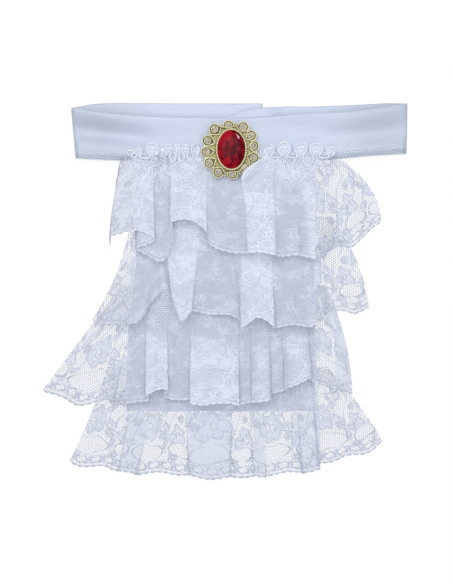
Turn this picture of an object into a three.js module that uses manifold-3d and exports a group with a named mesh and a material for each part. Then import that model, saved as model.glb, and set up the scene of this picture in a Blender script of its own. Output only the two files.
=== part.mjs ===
// Lace jabot, laid flat: a neckband flattened as a loop, a base panel with four gathered lace tiers, and a brooch.
// Millimetres. +X right, +Y toward the neckband, +Z up from the surface that it lies on.
import * as THREE from "three";
import Module from "manifold-3d";

// Cloth
const LACE_WALL = 1.0;
const FRILL_WALL = 0.9;
const PANEL_WALL = 1.3;
const BAND_WALL = 1.6;
const SEAM_GAP = 0.3;

// Gathers and folds of the lace tiers
const RISE = 7.8;
const RISE_POWER = 2.2;
const GATHER = 1.2;
const GATHER_END = 0.5;
const GATHER_SLOPE = 0.7;
const TIER_COLUMNS = 72;
const TIER_ROWS = 8;
const LEAST_DEPTH = 40;

// Neckband: height of the middle of each layer
const BACK_Z = BAND_WALL / 2;
const FRONT_Z = 5.0;
const LAP_Z = BACK_Z + BAND_WALL + SEAM_GAP;
const BAND_TOP = FRONT_Z + BAND_WALL / 2;
const FOLD_R = (FRONT_Z - BACK_Z) / 2;
const BAND_LEFT = { low: -92.9, top: -95.9 };
const BAND_RIGHT = { low: 113.5, top: 114.1 };
const BACK_END_LEFT = 24;
const BACK_END_RIGHT = 0.5;

// Edges of the neckband as laid: x, y
const FRONT_TOP = [
  [-99, 118.3], [-85, 116], [-61, 113.5], [-32.5, 112], [9, 111.5],
  [25, 112], [47.5, 114], [79, 115.5], [101.5, 118.5], [117, 121],
];
const FRONT_LOW = [
  [-96, 85.5], [-66.5, 84], [2.5, 84], [71, 85], [92, 87], [116.5, 88.5],
];
const BACK_TOP = [
  [-99, 118.3], [-84.5, 121], [-71, 121.5], [-40.5, 121.3], [5.5, 121.2],
  [24, 121.2], [47.5, 119], [78, 120], [106.5, 121.5], [117, 121],
];
const BACK_LOW = [
  [-96, 85.5], [-66, 92.5], [60, 92.5], [92, 90.5], [116.5, 88.5],
];
const LAP_TOP = [
  [0, 111.8], [4.5, 113.5], [9.5, 115.5], [12, 117], [24, 118.5], [40, 119.2],
];

// Base panel as laid: y, left edge, right edge
const PANEL_EDGE = [
  [90.5, -60, 58], [60, -59, 57], [19.5, -57, 56.5], [-5, -59, 57], [-18.5, -61.5, 57.5],
  [-63.5, -63, 58], [-76, -63, 58],
];
const PANEL_RAMP = { from: 62, to: 82, height: 2.45 };
const BAND_RAMP = { from: 60, to: 82 };

// Lace tiers. A row of folds is one fold, left to right:
// seam left and right, hem left x and y, crown y, hem right x and y, height, tuck left and right, valley x and y
const TIERS = [
  {
    name: "lace_tier_1", seam: 86.5, flareL: 1, flareR: 1.15, start: [-66.5, -72.8, 23.5, 0.1],
    folds: [
      [-63, -47.5, -72.5, 34, 37.5, -45, 32.5, 0.95, 0, 11, -41, 18.5],
      [-34, -14.5, -34.5, 43.5, 44.5, -12, 37.5, 1, 1.5, -1, -4, 24.5],
      [9, 28.5, 15, 23, 22.5, 31, 22.5, 1, -3, -3, 40, 21],
      [41, 55.5, 49.5, 20.3, 20.5, 63, 21.5, 0.8, -3, -4, 71, 26.5],
      [64.5, 72, 80, 27.5, 35, 99.7, 43.8, 0.45, -2.5],
    ],
  },
  {
    name: "lace_tier_2", seam: 48.5, flareL: -0.6, flareR: 0.8, start: [-60, -84.5, -18, 0.3],
    folds: [
      [-58.5, -48.5, -83.5, -20.5, -23.5, -54.5, -18.5, 0.7, 0, -7.5, -37.5, 2],
      [-38.5, -17, -33.5, -5, -19, -21, -12, 1, -1, 3, -8, -15],
      [11, 28.5, 10.5, -23, -18, 31, -24, 1, -2, 1.5, 38.5, -23.5],
      [40, 55.5, 46.5, -23.5, -23, 61, -19.5, 0.75, -2.5, -3, 69, -14],
      [62, 68, 76, -13, -14.5, 92.3, -12, 0.5, -2.5],
    ],
  },
  {
    name: "lace_tier_3", seam: 4.5, flareL: 0, flareR: 1, start: [-66, -117.5, -63, 0.3],
    folds: [
      [-65, -56, -116.5, -64.5, -73, -70, -70, 0.55, 0, 1.5, -60, -73],
      [-50.5, -38.5, -50.5, -67, -64, -36.5, -64.5, 1, 2.5, 2.5, -29.5, -70],
      [-20.5, 8, -22.5, -72.5, -72.5, 9, -73.5, 1, 2, 2, 13, -72.5],
      [15.5, 26, 17, -72.5, -71, 29.5, -68.5, 0.8, 1.5, 2, 33.5, -66],
      [35, 47.5, 37.5, -63, -59.5, 55.5, -56.5, 0.8, 2, 1.5, 61, -59.5],
      [55.5, 64.5, 67, -63, -65, 81.3, -67, 0.45, -2],
    ],
  },
  {
    name: "lace_tier_4", seam: -48, flareL: -0.3, flareR: 0.25, start: [-75.5, -100.5, -108.5, 0.2],
    folds: [
      [-74.5, -63, -99.5, -109.8, -113.5, -77, -113.5, 0.5, 0, -2, -73, -115],
      [-55, -45, -70, -115.5, -117.5, -55.5, -117.5, 0.9, 2.5, 3, -41, -118],
      [-23, 4, -24, -119.5, -120.5, 4, -120.5, 1, 2.5, 2.5, 11, -120],
      [17, 24.5, 18, -120, -120.5, 26.5, -120, 0.8, 1.5, 1.5, 37.5, -118],
      [45, 54, 49, -116, -116.5, 61, -115, 0.9, 2.5, 2.5, 69, -109.5],
      [59, 65.5, 77, -107, -104.5, 102, -97, 0.45, -2.5],
    ],
  },
];

// Heading frill: one row a loop, left to right: x, width, height in plan, rise
const FRILL_Y = 87.1;
const FRILL_LOOPS = [
  [-60.5, 4, 3.5, 3], [-55.3, 4.5, 4.5, 3.5], [-46, 8.5, 7.7, 5], [-36.2, 4.6, 7, 4.5],
  [-30.6, 4.4, 7, 4.5], [-25.2, 4.4, 7, 4.5], [-19.2, 5.6, 7.3, 4.5], [-12.5, 5, 4, 1],
  [-5, 6, 3, 0.2], [4, 6, 3, 0.2], [13, 6, 3, 0.2], [20.5, 5, 4, 1.5],
  [28.2, 6.4, 7, 4.5], [38, 8.6, 8.4, 5], [48, 8.4, 8, 5], [58.2, 9, 7.6, 5],
  [67.6, 5.6, 5.4, 3.5],
];

// Brooch
const BROOCH = { x: 4.0, y: 91.1, back: 7.55, press: 19.6, free: 25.5 };
const PLATE = { radius: 16.6, thick: 1.6, cup: 3.5, cupHeight: 2.6, rim: 1.6 };
const STONE = { wide: 18, long: 25, girdle: 3.6, crown: 3.2, table: 0.62, sides: 28 };
const BEZEL = { gap: 0.2, wallX: 1.2, wallY: 0.55, height: 3.9 };
const RHINESTONE = { radius: 1.7, sink: 0.9, crown: 1.0 };
const RHINESTONES = [
  [-1.7, 15.2], [7.6, 14.3], [12.7, 8.9], [14.2, 2.2], [14.2, -5.3], [9.0, -12.0],
  [0.8, -15.4], [-8.3, -14.5], [-14.0, -8.6], [-15.9, -1.6], [-15.1, 5.6], [-10.7, 13.0],
];

const wasm = await Module();
wasm.setup();
const { Manifold, CrossSection } = wasm;

const mix = (a, b, t) => a + (b - a) * t;
const clamp01 = (t) => Math.min(1, Math.max(0, t));

function smooth(from, to, value) {
  const t = clamp01((value - from) / (to - from));
  return t * t * (3 - 2 * t);
}

// Value of column c of a table at a place in column 0, which may rise or fall.
function lookup(table, at, c = 1) {
  const rows = table[0][0] < table[table.length - 1][0] ? table : [...table].reverse();
  if (at <= rows[0][0]) return rows[0][c];
  for (let i = 1; i < rows.length; i++) {
    const [a, b] = [rows[i - 1], rows[i]];
    if (at <= b[0]) return mix(a[c], b[c], (at - a[0]) / (b[0] - a[0]));
  }
  return rows[rows.length - 1][c];
}

// Centripetal spline through points of any size, sampled evenly by the length that measure() gives.
function spline(points, count, measure) {
  const length = (a, b) => Math.max(1e-6, measure(a, b));
  const first = points[0].map((v, k) => 2 * v - points[1][k]);
  const n = points.length;
  const last = points[n - 1].map((v, k) => 2 * v - points[n - 2][k]);
  const p = [first, ...points, last];
  const knots = [0];
  for (let i = 1; i < p.length; i++) knots.push(knots[i - 1] + Math.sqrt(length(p[i - 1], p[i])));
  const dense = [];
  for (let i = 1; i < p.length - 2; i++) {
    const t = knots.slice(i - 1, i + 3);
    const q = p.slice(i - 1, i + 3);
    for (let s = 0; s < 16; s++) {
      const u = mix(t[1], t[2], s / 16);
      const blend = (a, b, k, m) => a.map((v, j) => ((k - u) * v + (u - m) * b[j]) / (k - m));
      const a1 = blend(q[0], q[1], t[1], t[0]);
      const a2 = blend(q[1], q[2], t[2], t[1]);
      const a3 = blend(q[2], q[3], t[3], t[2]);
      const b1 = blend(a1, a2, t[2], t[0]);
      const b2 = blend(a2, a3, t[3], t[1]);
      dense.push(blend(b1, b2, t[2], t[1]));
    }
  }
  dense.push(points[n - 1]);
  const run = [0];
  for (let i = 1; i < dense.length; i++) run.push(run[i - 1] + length(dense[i - 1], dense[i]));
  const total = run[run.length - 1];
  const out = [];
  let i = 1;
  for (let s = 0; s <= count; s++) {
    const at = (total * s) / count;
    while (i < run.length - 1 && run[i] < at) i++;
    const t = clamp01((at - run[i - 1]) / (run[i] - run[i - 1]));
    out.push(dense[i - 1].map((v, k) => mix(v, dense[i][k], t)));
  }
  return out;
}

// Closed solid from a lower and an upper grid of points; columns run right and rows run down.
function slab(lower, upper) {
  const m = upper.length;
  const n = upper[0].length;
  const position = [];
  for (const grid of [upper, lower])
    for (const column of grid) for (const p of column) position.push(p.x, p.y, p.z);
  const top = (i, j) => i * n + j;
  const under = (i, j) => m * n + i * n + j;
  const index = [];
  const quad = (a, b, c, d) => index.push(a, b, c, a, c, d);
  for (let i = 0; i < m - 1; i++)
    for (let j = 0; j < n - 1; j++) {
      quad(top(i, j), top(i, j + 1), top(i + 1, j + 1), top(i + 1, j));
      quad(under(i, j), under(i + 1, j), under(i + 1, j + 1), under(i, j + 1));
    }
  for (let i = 0; i < m - 1; i++) {
    quad(top(i, 0), top(i + 1, 0), under(i + 1, 0), under(i, 0));
    quad(top(i, n - 1), under(i, n - 1), under(i + 1, n - 1), top(i + 1, n - 1));
  }
  for (let j = 0; j < n - 1; j++) {
    quad(top(0, j), under(0, j), under(0, j + 1), top(0, j + 1));
    quad(top(m - 1, j), top(m - 1, j + 1), under(m - 1, j + 1), under(m - 1, j));
  }
  const g = new THREE.BufferGeometry();
  g.setAttribute("position", new THREE.Float32BufferAttribute(position, 3));
  g.setIndex(index);
  g.computeVertexNormals();
  return g;
}

// Cloth of even wall on both sides of a grid of points.
function shell(grid, wall) {
  const m = grid.length;
  const n = grid[0].length;
  const normal = (i, j) => {
    const across = grid[Math.min(i + 1, m - 1)][j].clone().sub(grid[Math.max(i - 1, 0)][j]);
    const down = grid[i][Math.min(j + 1, n - 1)].clone().sub(grid[i][Math.max(j - 1, 0)]);
    return down.cross(across).normalize();
  };
  const moved = (side) =>
    grid.map((column, i) => column.map((p, j) => p.clone().addScaledVector(normal(i, j), side)));
  return slab(moved(-wall / 2), moved(wall / 2));
}

// Lace tiers

const flare = (v, c) => v + c * v * (1 - v);
const rise = (v) => RISE * (1 - (1 - clamp01(v)) ** RISE_POWER);

// Height of the base panel, and for the first tier of the neckband's lower edge, under a point.
function ground(tier, x, y) {
  const inX = smooth(-72, -64, x) * (1 - smooth(59, 67, x));
  const inY = smooth(-88, -77, y);
  const panel = PANEL_WALL * inX * inY;
  if (tier > 0) return panel;
  return mix(panel, BAND_TOP, smooth(BAND_RAMP.from, BAND_RAMP.to, y));
}

// Room that a tier takes above what it lies on.
function stack(tier, x, y) {
  const t = TIERS[tier];
  const v = clamp01((t.seam + 2 - y) / LEAST_DEPTH);
  const last = t.folds[t.folds.length - 1];
  const left = mix(t.start[0], t.start[1], flare(v, t.flareL)) - 3;
  const right = mix(last[1], last[5], flare(v, t.flareR)) + 3;
  const inX = smooth(left - 14, left, x) * (1 - smooth(right, right + 14, x));
  const inY = 1 - smooth(t.seam + 2.5, t.seam + 12, y);
  return (SEAM_GAP + LACE_WALL + GATHER * 0.6 + rise(v)) * inX * inY;
}

function support(tier, x, y) {
  return ground(tier, x, y) + (tier + 1 < TIERS.length ? stack(tier + 1, x, y) : 0);
}

// Share of its rise that lace keeps near the brooch, which presses it flat.
function pressed(x, y) {
  return smooth(BROOCH.press, BROOCH.free, Math.hypot(x - BROOCH.x, y - BROOCH.y));
}

// Points of the hem from the fold table: seam x, hem x, hem y, lift.
function hemPoints(t) {
  const points = [t.start];
  t.folds.forEach((f, i) => {
    const [seamL, seamR, xL, yL, yC, xR, yR, lift, , tuckR, valleyX, valleyY] = f;
    points.push([seamL, xL, yL, lift * 0.8]);
    points.push([(seamL + seamR) / 2, (xL + xR) / 2, yC, lift]);
    const next = t.folds[i + 1];
    if (!next) {
      points.push([seamR, xR, yR, lift * 0.5]);
      return;
    }
    points.push([seamR, xR, yR, lift * 0.85]);
    const gap = next[0] - seamR;
    points.push([seamR + gap * 0.3, xR - tuckR, mix(yR, valleyY, 0.5), lift * 0.4]);
    points.push([seamR + gap * 0.5, valleyX, valleyY, 0]);
    points.push([seamR + gap * 0.75, next[2] + next[8], mix(next[3], valleyY, 0.5), next[7] * 0.35]);
  });
  return points;
}

function tierGrid(tier) {
  const t = TIERS[tier];
  const far = (a, b) => Math.hypot(a[1] - b[1], a[2] - b[2], (a[3] - b[3]) * RISE);
  const columns = spline(hemPoints(t), TIER_COLUMNS - 1, far);
  return columns.map(([seamX, hemX, hemY, lift], i) => {
    const c = mix(t.flareL, t.flareR, i / (TIER_COLUMNS - 1));
    const near = columns[Math.max(i - 1, 0)][0];
    const pleat = i % 2 ? Math.min(GATHER, GATHER_SLOPE * (seamX - near)) : 0;
    const column = [];
    for (let j = 0; j <= TIER_ROWS; j++) {
      const v = (j / TIER_ROWS) ** 1.25;
      const x = mix(seamX, hemX, flare(v, c));
      const y = mix(t.seam, hemY, v);
      const gather = pleat * clamp01(1 - v / GATHER_END) ** 1.5;
      const fold = (clamp01(lift) * rise(v) + gather) * (tier === 0 ? pressed(x, y) : 1);
      column.push(new THREE.Vector3(x, y, support(tier, x, y) + SEAM_GAP + LACE_WALL / 2 + fold));
    }
    return column;
  });
}

// Heading frill: loops of the free upper edge of the lace, which stand on the neckband.
function frillGrid() {
  const points = [];
  FRILL_LOOPS.forEach(([x, wide, tall, lift], i) => {
    const before = FRILL_LOOPS[i - 1];
    const valley = before ? (before[0] + before[1] / 2 + x - wide / 2) / 2 : x - wide / 2 - 0.6;
    points.push([valley, valley, 0.9, lift * 0.9]);
    points.push([x - wide * 0.22, x - wide * 0.42, tall * 0.6, lift * 0.9]);
    points.push([x, x, tall, lift]);
    points.push([x + wide * 0.22, x + wide * 0.42, tall * 0.6, lift * 0.9]);
  });
  const [x, wide] = FRILL_LOOPS[FRILL_LOOPS.length - 1];
  points.push([x + wide / 2 + 0.8, x + wide / 2 + 0.8, 0.9, 1.5]);
  const far = (a, b) => Math.hypot(a[1] - b[1], a[2] - b[2]);
  const base = BAND_TOP + SEAM_GAP + FRILL_WALL / 2;
  return spline(points, FRILL_LOOPS.length * 6, far).map(([seamX, topX, out, lift]) =>
    [1, 0.66, 0.33, 0].map((w) => {
      const x = mix(seamX, topX, w);
      const y = FRILL_Y + mix(0.3, out, w);
      return new THREE.Vector3(x, y, base + Math.max(0, lift) * w ** 0.8 * pressed(x, y));
    }),
  );
}

// Neckband: one strip from the left back end, round the left fold, across the front, round the right fold.
function bandGrid() {
  const stations = [];
  const add = (low, top, z, lowY, topY) => stations.push({ low, top, z, lowY, topY });
  const bend = (side, angle) => {
    const reach = FOLD_R * Math.cos(angle);
    const mid = (BACK_Z + FRONT_Z) / 2;
    const edge = side < 0 ? BAND_LEFT : BAND_RIGHT;
    const share = (1 + Math.sin(angle)) / 2;
    const end = side < 0 ? -99 : 117;
    add(
      edge.low + side * reach,
      edge.top + side * reach,
      mid + FOLD_R * Math.sin(angle),
      mix(lookup(BACK_LOW, end), lookup(FRONT_LOW, end), share),
      mix(lookup(BACK_TOP, end), lookup(FRONT_TOP, end), share),
    );
  };
  for (let i = 0; i <= 9; i++) {
    const s = i / 9;
    const top = mix(BACK_END_LEFT, BAND_LEFT.top, s);
    const low = mix(BACK_END_LEFT, BAND_LEFT.low, s);
    add(low, top, BACK_Z, lookup(BACK_LOW, low), lookup(BACK_TOP, top));
  }
  for (const a of [-45, 0, 45]) bend(-1, (a * Math.PI) / 180);
  for (let i = 0; i <= 16; i++) {
    const s = i / 16;
    const top = mix(BAND_LEFT.top, BAND_RIGHT.top, s);
    const low = mix(BAND_LEFT.low, BAND_RIGHT.low, s);
    add(low, top, FRONT_Z, lookup(FRONT_LOW, low), lookup(FRONT_TOP, top));
  }
  for (const a of [45, 0, -45]) bend(1, (a * Math.PI) / 180);
  const lapX = [
    1, 0.85, 0.71, 0.58, 0.46, 0.36, 0.29, 0.24, 0.2, 0.15, 0.1, 0.05, 0,
  ];
  for (const s of lapX) {
    const top = mix(BACK_END_RIGHT, BAND_RIGHT.top, s);
    const low = mix(BACK_END_RIGHT, BAND_RIGHT.low, s);
    const z = mix(LAP_Z, BACK_Z, smooth(27, 39, top));
    const topY = top < 40 ? lookup(LAP_TOP, top) : lookup(BACK_TOP, top);
    add(low, top, z, lookup(BACK_LOW, low), topY);
  }
  return stations.map(({ low, top, z, lowY, topY }) =>
    [0, 0.33, 0.67, 1].map((w) => new THREE.Vector3(mix(low, top, w), mix(lowY, topY, w), z)),
  );
}

function panelGrids() {
  const rows = [90.5, 87, 83, 79.5, 76, 72.5, 69, 65.5, 60, 40, 19.5, -5, -18.5, -40, -63.5, -76];
  const columns = 8;
  const at = (s, y, z) => {
    const x = mix(lookup(PANEL_EDGE, y, 1), lookup(PANEL_EDGE, y, 2), s);
    return new THREE.Vector3(x, y, z + PANEL_RAMP.height * smooth(PANEL_RAMP.from, PANEL_RAMP.to, y));
  };
  const grid = (z) => {
    const out = [];
    for (let i = 0; i <= columns; i++) out.push(rows.map((y) => at(i / columns, y, z)));
    return out;
  };
  return [grid(0), grid(PANEL_WALL)];
}

// Brooch

// A manifold solid as a geometry, moved to the brooch's place.
function placed(solid) {
  const mesh = solid.translate([BROOCH.x, BROOCH.y, BROOCH.back]).getMesh();
  const g = new THREE.BufferGeometry();
  const position = new Float32Array(mesh.numVert * 3);
  for (let i = 0; i < mesh.numVert; i++)
    for (let k = 0; k < 3; k++) position[i * 3 + k] = mesh.vertProperties[i * mesh.numProp + k];
  g.setAttribute("position", new THREE.BufferAttribute(position, 3));
  g.setIndex(Array.from(mesh.triVerts));
  g.computeVertexNormals();
  return g;
}

function oval(wide, long, sides) {
  const points = [];
  for (let i = 0; i < sides; i++) {
    const a = (i * 2 * Math.PI) / sides;
    points.push([(wide / 2) * Math.cos(a), (long / 2) * Math.sin(a)]);
  }
  return new CrossSection([points]);
}

// Outer edge of the bezel, wider by extra.
function bezelOval(extra) {
  const wide = STONE.wide + 2 * (BEZEL.gap + BEZEL.wallX) + extra;
  const long = STONE.long + 2 * (BEZEL.gap + BEZEL.wallY) + extra;
  return oval(wide, long, 36);
}

function setting() {
  const cups = RHINESTONES.map(([x, y]) => CrossSection.circle(PLATE.cup, 12).translate([x, y]));
  const outline = CrossSection.union([CrossSection.circle(PLATE.radius, 36), ...cups]);
  const plate = outline.extrude(PLATE.thick);
  const ring = CrossSection.circle(PLATE.radius - 0.6, 36).subtract(
    CrossSection.circle(PLATE.radius - 0.6 - PLATE.rim, 36),
  );
  const walls = CrossSection.union([ring, ...cups]).extrude(PLATE.cupHeight);
  const wells = RHINESTONES.map(([x, y]) =>
    Manifold.cylinder(3, RHINESTONE.radius + 0.3, RHINESTONE.radius + 0.3, 10)
      .translate([x, y, PLATE.cupHeight - RHINESTONE.sink]),
  );
  const ovalWell = bezelOval(2 * SEAM_GAP).extrude(4).translate([0, 0, PLATE.thick]);
  return plate.add(walls).subtract(Manifold.union(wells)).subtract(ovalWell);
}

function bezel() {
  const inner = oval(STONE.wide + 2 * BEZEL.gap, STONE.long + 2 * BEZEL.gap, 36);
  return bezelOval(0)
    .subtract(inner)
    .extrude(BEZEL.height)
    .translate([0, 0, PLATE.thick + SEAM_GAP]);
}

// Oval stone: flat table, two rows of crown facets, and a short pavilion inside the bezel.
function stone() {
  const rings = [
    [0.55, 0], [1, STONE.girdle - 0.4], [1, STONE.girdle], [0.86, STONE.girdle + STONE.crown * 0.55],
    [STONE.table, STONE.girdle + STONE.crown],
  ];
  const points = [];
  rings.forEach(([share, z], r) => {
    for (let i = 0; i < STONE.sides; i++) {
      const a = ((i + (r > 2 && r % 2 ? 0.5 : 0)) * 2 * Math.PI) / STONE.sides;
      points.push([(STONE.wide / 2) * share * Math.cos(a), (STONE.long / 2) * share * Math.sin(a), z]);
    }
  });
  return Manifold.hull(points).translate([0, 0, PLATE.thick + SEAM_GAP + 0.1]);
}

function rhinestone([x, y]) {
  const base = Manifold.cylinder(0.5, RHINESTONE.radius, RHINESTONE.radius, 10);
  const top = Manifold.cylinder(RHINESTONE.crown, RHINESTONE.radius, RHINESTONE.radius * 0.5, 10);
  return base
    .add(top.translate([0, 0, 0.5]))
    .translate([x, y, PLATE.cupHeight - RHINESTONE.sink + 0.2]);
}

// Assembly

const satin = new THREE.MeshStandardMaterial({ color: 0xeceff6, roughness: 0.6 });
const lace = new THREE.MeshStandardMaterial({ color: 0xe4e9f4, roughness: 0.85 });
const lining = new THREE.MeshStandardMaterial({ color: 0xe8ebf3, roughness: 0.8 });
const gold = new THREE.MeshStandardMaterial({ color: 0xc9ab4f, metalness: 1, roughness: 0.3 });
const ruby = new THREE.MeshStandardMaterial({ color: 0xa5102a, roughness: 0.05 });
const clear = new THREE.MeshStandardMaterial({ color: 0xcfc6c8, roughness: 0.05 });

const root = new THREE.Group();

function add(name, geometry, material) {
  const mesh = new THREE.Mesh(geometry, material);
  mesh.name = name;
  root.add(mesh);
}

const [panelUnder, panelTop] = panelGrids();
add("neckband", shell(bandGrid(), BAND_WALL), satin);
add("base_panel", slab(panelUnder, panelTop), lining);
TIERS.forEach((t, i) => add(t.name, shell(tierGrid(i), LACE_WALL), lace));
add("heading_frill", shell(frillGrid(), FRILL_WALL), lace);
add("brooch_setting", placed(setting()), gold);
add("brooch_bezel", placed(bezel()), gold);
add("brooch_stone", placed(stone()), ruby);
RHINESTONES.forEach((at, i) =>
  add("rhinestone_" + String(i + 1).padStart(2, "0"), placed(rhinestone(at)), clear),
);

const box = new THREE.Box3().setFromObject(root);
const middle = box.getCenter(new THREE.Vector3());
root.position.set(-middle.x, -middle.y, -box.min.z);

export default root;
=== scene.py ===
# Lace jabot laid flat: satin neckband, four gathered lace tiers on a panel, heading frill and brooch.
import math

import bpy
import numpy as np
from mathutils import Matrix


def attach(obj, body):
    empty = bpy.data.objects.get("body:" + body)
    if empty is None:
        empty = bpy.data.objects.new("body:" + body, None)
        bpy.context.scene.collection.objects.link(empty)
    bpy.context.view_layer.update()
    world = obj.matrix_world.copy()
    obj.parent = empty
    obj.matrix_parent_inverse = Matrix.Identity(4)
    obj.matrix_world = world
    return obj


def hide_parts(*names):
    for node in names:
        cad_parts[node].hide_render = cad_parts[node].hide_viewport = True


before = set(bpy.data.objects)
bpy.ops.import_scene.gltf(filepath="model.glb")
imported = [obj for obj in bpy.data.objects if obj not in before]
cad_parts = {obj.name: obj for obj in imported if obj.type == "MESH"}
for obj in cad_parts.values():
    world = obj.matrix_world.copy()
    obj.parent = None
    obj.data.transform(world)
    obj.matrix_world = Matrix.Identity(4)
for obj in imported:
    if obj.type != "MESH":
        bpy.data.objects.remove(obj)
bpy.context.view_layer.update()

# Sizes of the solids, in millimetres
LACE_WALL = 1.0
FRILL_WALL = 0.9
PANEL_WALL = 1.3
BAND_WALL = 1.6
SEAM_GAP = 0.3
RISE = 7.8
RISE_POWER = 2.2
GATHER = 1.2
LEAST_DEPTH = 40.0
BACK_Z = BAND_WALL / 2
FRONT_Z = 5.0
LAP_Z = BACK_Z + BAND_WALL + SEAM_GAP
BAND_TOP = FRONT_Z + BAND_WALL / 2
FOLD_R = (FRONT_Z - BACK_Z) / 2
# x at the lower and the upper edge where the folds at the band's ends begin
BAND_LEFT = (-92.9, -95.9)
BAND_RIGHT = (113.5, 114.1)
BAND_ENDS = (-99, 117)
BACK_END_LEFT = 24.0
BACK_END_RIGHT = 0.5
BAND_WIDTH = 33.0
BORDER_Z = FRONT_Z + 0.82
PANEL_LOW = -76.0

# The band's edges: x and y along the top and the bottom of its front and back, and the lap's top
FRONT_TOP = [(-99, 118.3), (-85, 116), (-61, 113.5), (-32.5, 112), (9, 111.5),
             (25, 112), (47.5, 114), (79, 115.5), (101.5, 118.5), (117, 121)]
FRONT_LOW = [(-96, 85.5), (-66.5, 84), (2.5, 84), (71, 85), (92, 87), (116.5, 88.5)]
BACK_TOP = [(-99, 118.3), (-84.5, 121), (-71, 121.5), (-40.5, 121.3), (5.5, 121.2),
            (24, 121.2), (47.5, 119), (78, 120), (106.5, 121.5), (117, 121)]
BACK_LOW = [(-96, 85.5), (-66, 92.5), (60, 92.5), (92, 90.5), (116.5, 88.5)]
LAP_TOP = [(0, 111.8), (4.5, 113.5), (9.5, 115.5), (12, 117), (24, 118.5), (40, 119.2)]
# Height on the panel, and x of its left and right edge
PANEL_EDGE = [(90.5, -60, 58), (60, -59, 57), (19.5, -57, 56.5), (-5, -59, 57), (-18.5, -61.5, 57.5),
              (-63.5, -63, 58), (-76, -63, 58)]

# name, seam y, flare left, flare right, start, folds: seam left and right, hem left x and y, crown y,
# hem right x and y, height, tuck left and right, valley x and y
TIERS = [
    ("lace_tier_1", 86.5, 1.0, 1.15, (-66.5, -72.8, 23.5, 0.1), [
        (-63, -47.5, -72.5, 34, 37.5, -45, 32.5, 0.95, 0, 11, -41, 18.5),
        (-34, -14.5, -34.5, 43.5, 44.5, -12, 37.5, 1, 1.5, -1, -4, 24.5),
        (9, 28.5, 15, 23, 22.5, 31, 22.5, 1, -3, -3, 40, 21),
        (41, 55.5, 49.5, 20.3, 20.5, 63, 21.5, 0.8, -3, -4, 71, 26.5),
        (64.5, 72, 80, 27.5, 35, 99.7, 43.8, 0.45, -2.5)]),
    ("lace_tier_2", 48.5, -0.6, 0.8, (-60, -84.5, -18, 0.3), [
        (-58.5, -48.5, -83.5, -20.5, -23.5, -54.5, -18.5, 0.7, 0, -7.5, -37.5, 2),
        (-38.5, -17, -33.5, -5, -19, -21, -12, 1, -1, 3, -8, -15),
        (11, 28.5, 10.5, -23, -18, 31, -24, 1, -2, 1.5, 38.5, -23.5),
        (40, 55.5, 46.5, -23.5, -23, 61, -19.5, 0.75, -2.5, -3, 69, -14),
        (62, 68, 76, -13, -14.5, 92.3, -12, 0.5, -2.5)]),
    ("lace_tier_3", 4.5, 0.0, 1.0, (-66, -117.5, -63, 0.3), [
        (-65, -56, -116.5, -64.5, -73, -70, -70, 0.55, 0, 1.5, -60, -73),
        (-50.5, -38.5, -50.5, -67, -64, -36.5, -64.5, 1, 2.5, 2.5, -29.5, -70),
        (-20.5, 8, -22.5, -72.5, -72.5, 9, -73.5, 1, 2, 2, 13, -72.5),
        (15.5, 26, 17, -72.5, -71, 29.5, -68.5, 0.8, 1.5, 2, 33.5, -66),
        (35, 47.5, 37.5, -63, -59.5, 55.5, -56.5, 0.8, 2, 1.5, 61, -59.5),
        (55.5, 64.5, 67, -63, -65, 81.3, -67, 0.45, -2)]),
    ("lace_tier_4", -48.0, -0.3, 0.25, (-75.5, -100.5, -108.5, 0.2), [
        (-74.5, -63, -99.5, -109.8, -113.5, -77, -113.5, 0.5, 0, -2, -73, -115),
        (-55, -45, -70, -115.5, -117.5, -55.5, -117.5, 0.9, 2.5, 3, -41, -118),
        (-23, 4, -24, -119.5, -120.5, 4, -120.5, 1, 2.5, 2.5, 11, -120),
        (17, 24.5, 18, -120, -120.5, 26.5, -120, 0.8, 1.5, 1.5, 37.5, -118),
        (45, 54, 49, -116, -116.5, 61, -115, 0.9, 2.5, 2.5, 69, -109.5),
        (59, 65.5, 77, -107, -104.5, 102, -97, 0.45, -2.5)]),
]

FRILL_Y = 87.1
FRILL_BASE = BAND_TOP + SEAM_GAP + FRILL_WALL / 2
# Middle x, width, height over the seam and lift of each loop
FRILL_LOOPS = [
    (-60.5, 4, 3.5, 3), (-55.3, 4.5, 4.5, 3.5), (-46, 8.5, 7.7, 5), (-36.2, 4.6, 7, 4.5),
    (-30.6, 4.4, 7, 4.5), (-25.2, 4.4, 7, 4.5), (-19.2, 5.6, 7.3, 4.5), (-12.5, 5, 4, 1),
    (-5, 6, 3, 0.2), (4, 6, 3, 0.2), (13, 6, 3, 0.2), (20.5, 5, 4, 1.5),
    (28.2, 6.4, 7, 4.5), (38, 8.6, 8.4, 5), (48, 8.4, 8, 5), (58.2, 9, 7.6, 5), (67.6, 5.6, 5.4, 3.5)]

BROOCH = (4.0, 91.1, 7.55)
# The brooch presses the cloth flat up to the first radius and not beyond the second
PRESS, FREE = 19.6, 25.5
PLATE_T = 1.6
STONE_W, STONE_L, GIRDLE, CROWN = 18.0, 25.0, 3.6, 3.2
# Middles of the small stones, from the brooch's middle
RHINESTONES = [(-1.7, 15.2), (7.6, 14.3), (12.7, 8.9), (14.2, 2.2), (14.2, -5.3), (9.0, -12.0),
               (0.8, -15.4), (-8.3, -14.5), (-14.0, -8.6), (-15.9, -1.6), (-15.1, 5.6), (-10.7, 13.0)]

# From the drawing's zero to the middle of the footprint
SHIFT = np.array([0.327, -0.441, 0.0])

TAU = 2 * math.pi
# The net: width of a cell, and so many cells between the pattern's zero and the cloth
NET_CELL = 1.60
FAR_CELLS = 900.0
ROOT_3 = 1.7320508


# Numbers

def mix(a, b, t):
    return a + (b - a) * t


def stacked(*parts):
    """Arrays and numbers as the parts of one vector."""
    return np.stack(np.broadcast_arrays(*parts), axis=-1)


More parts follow.
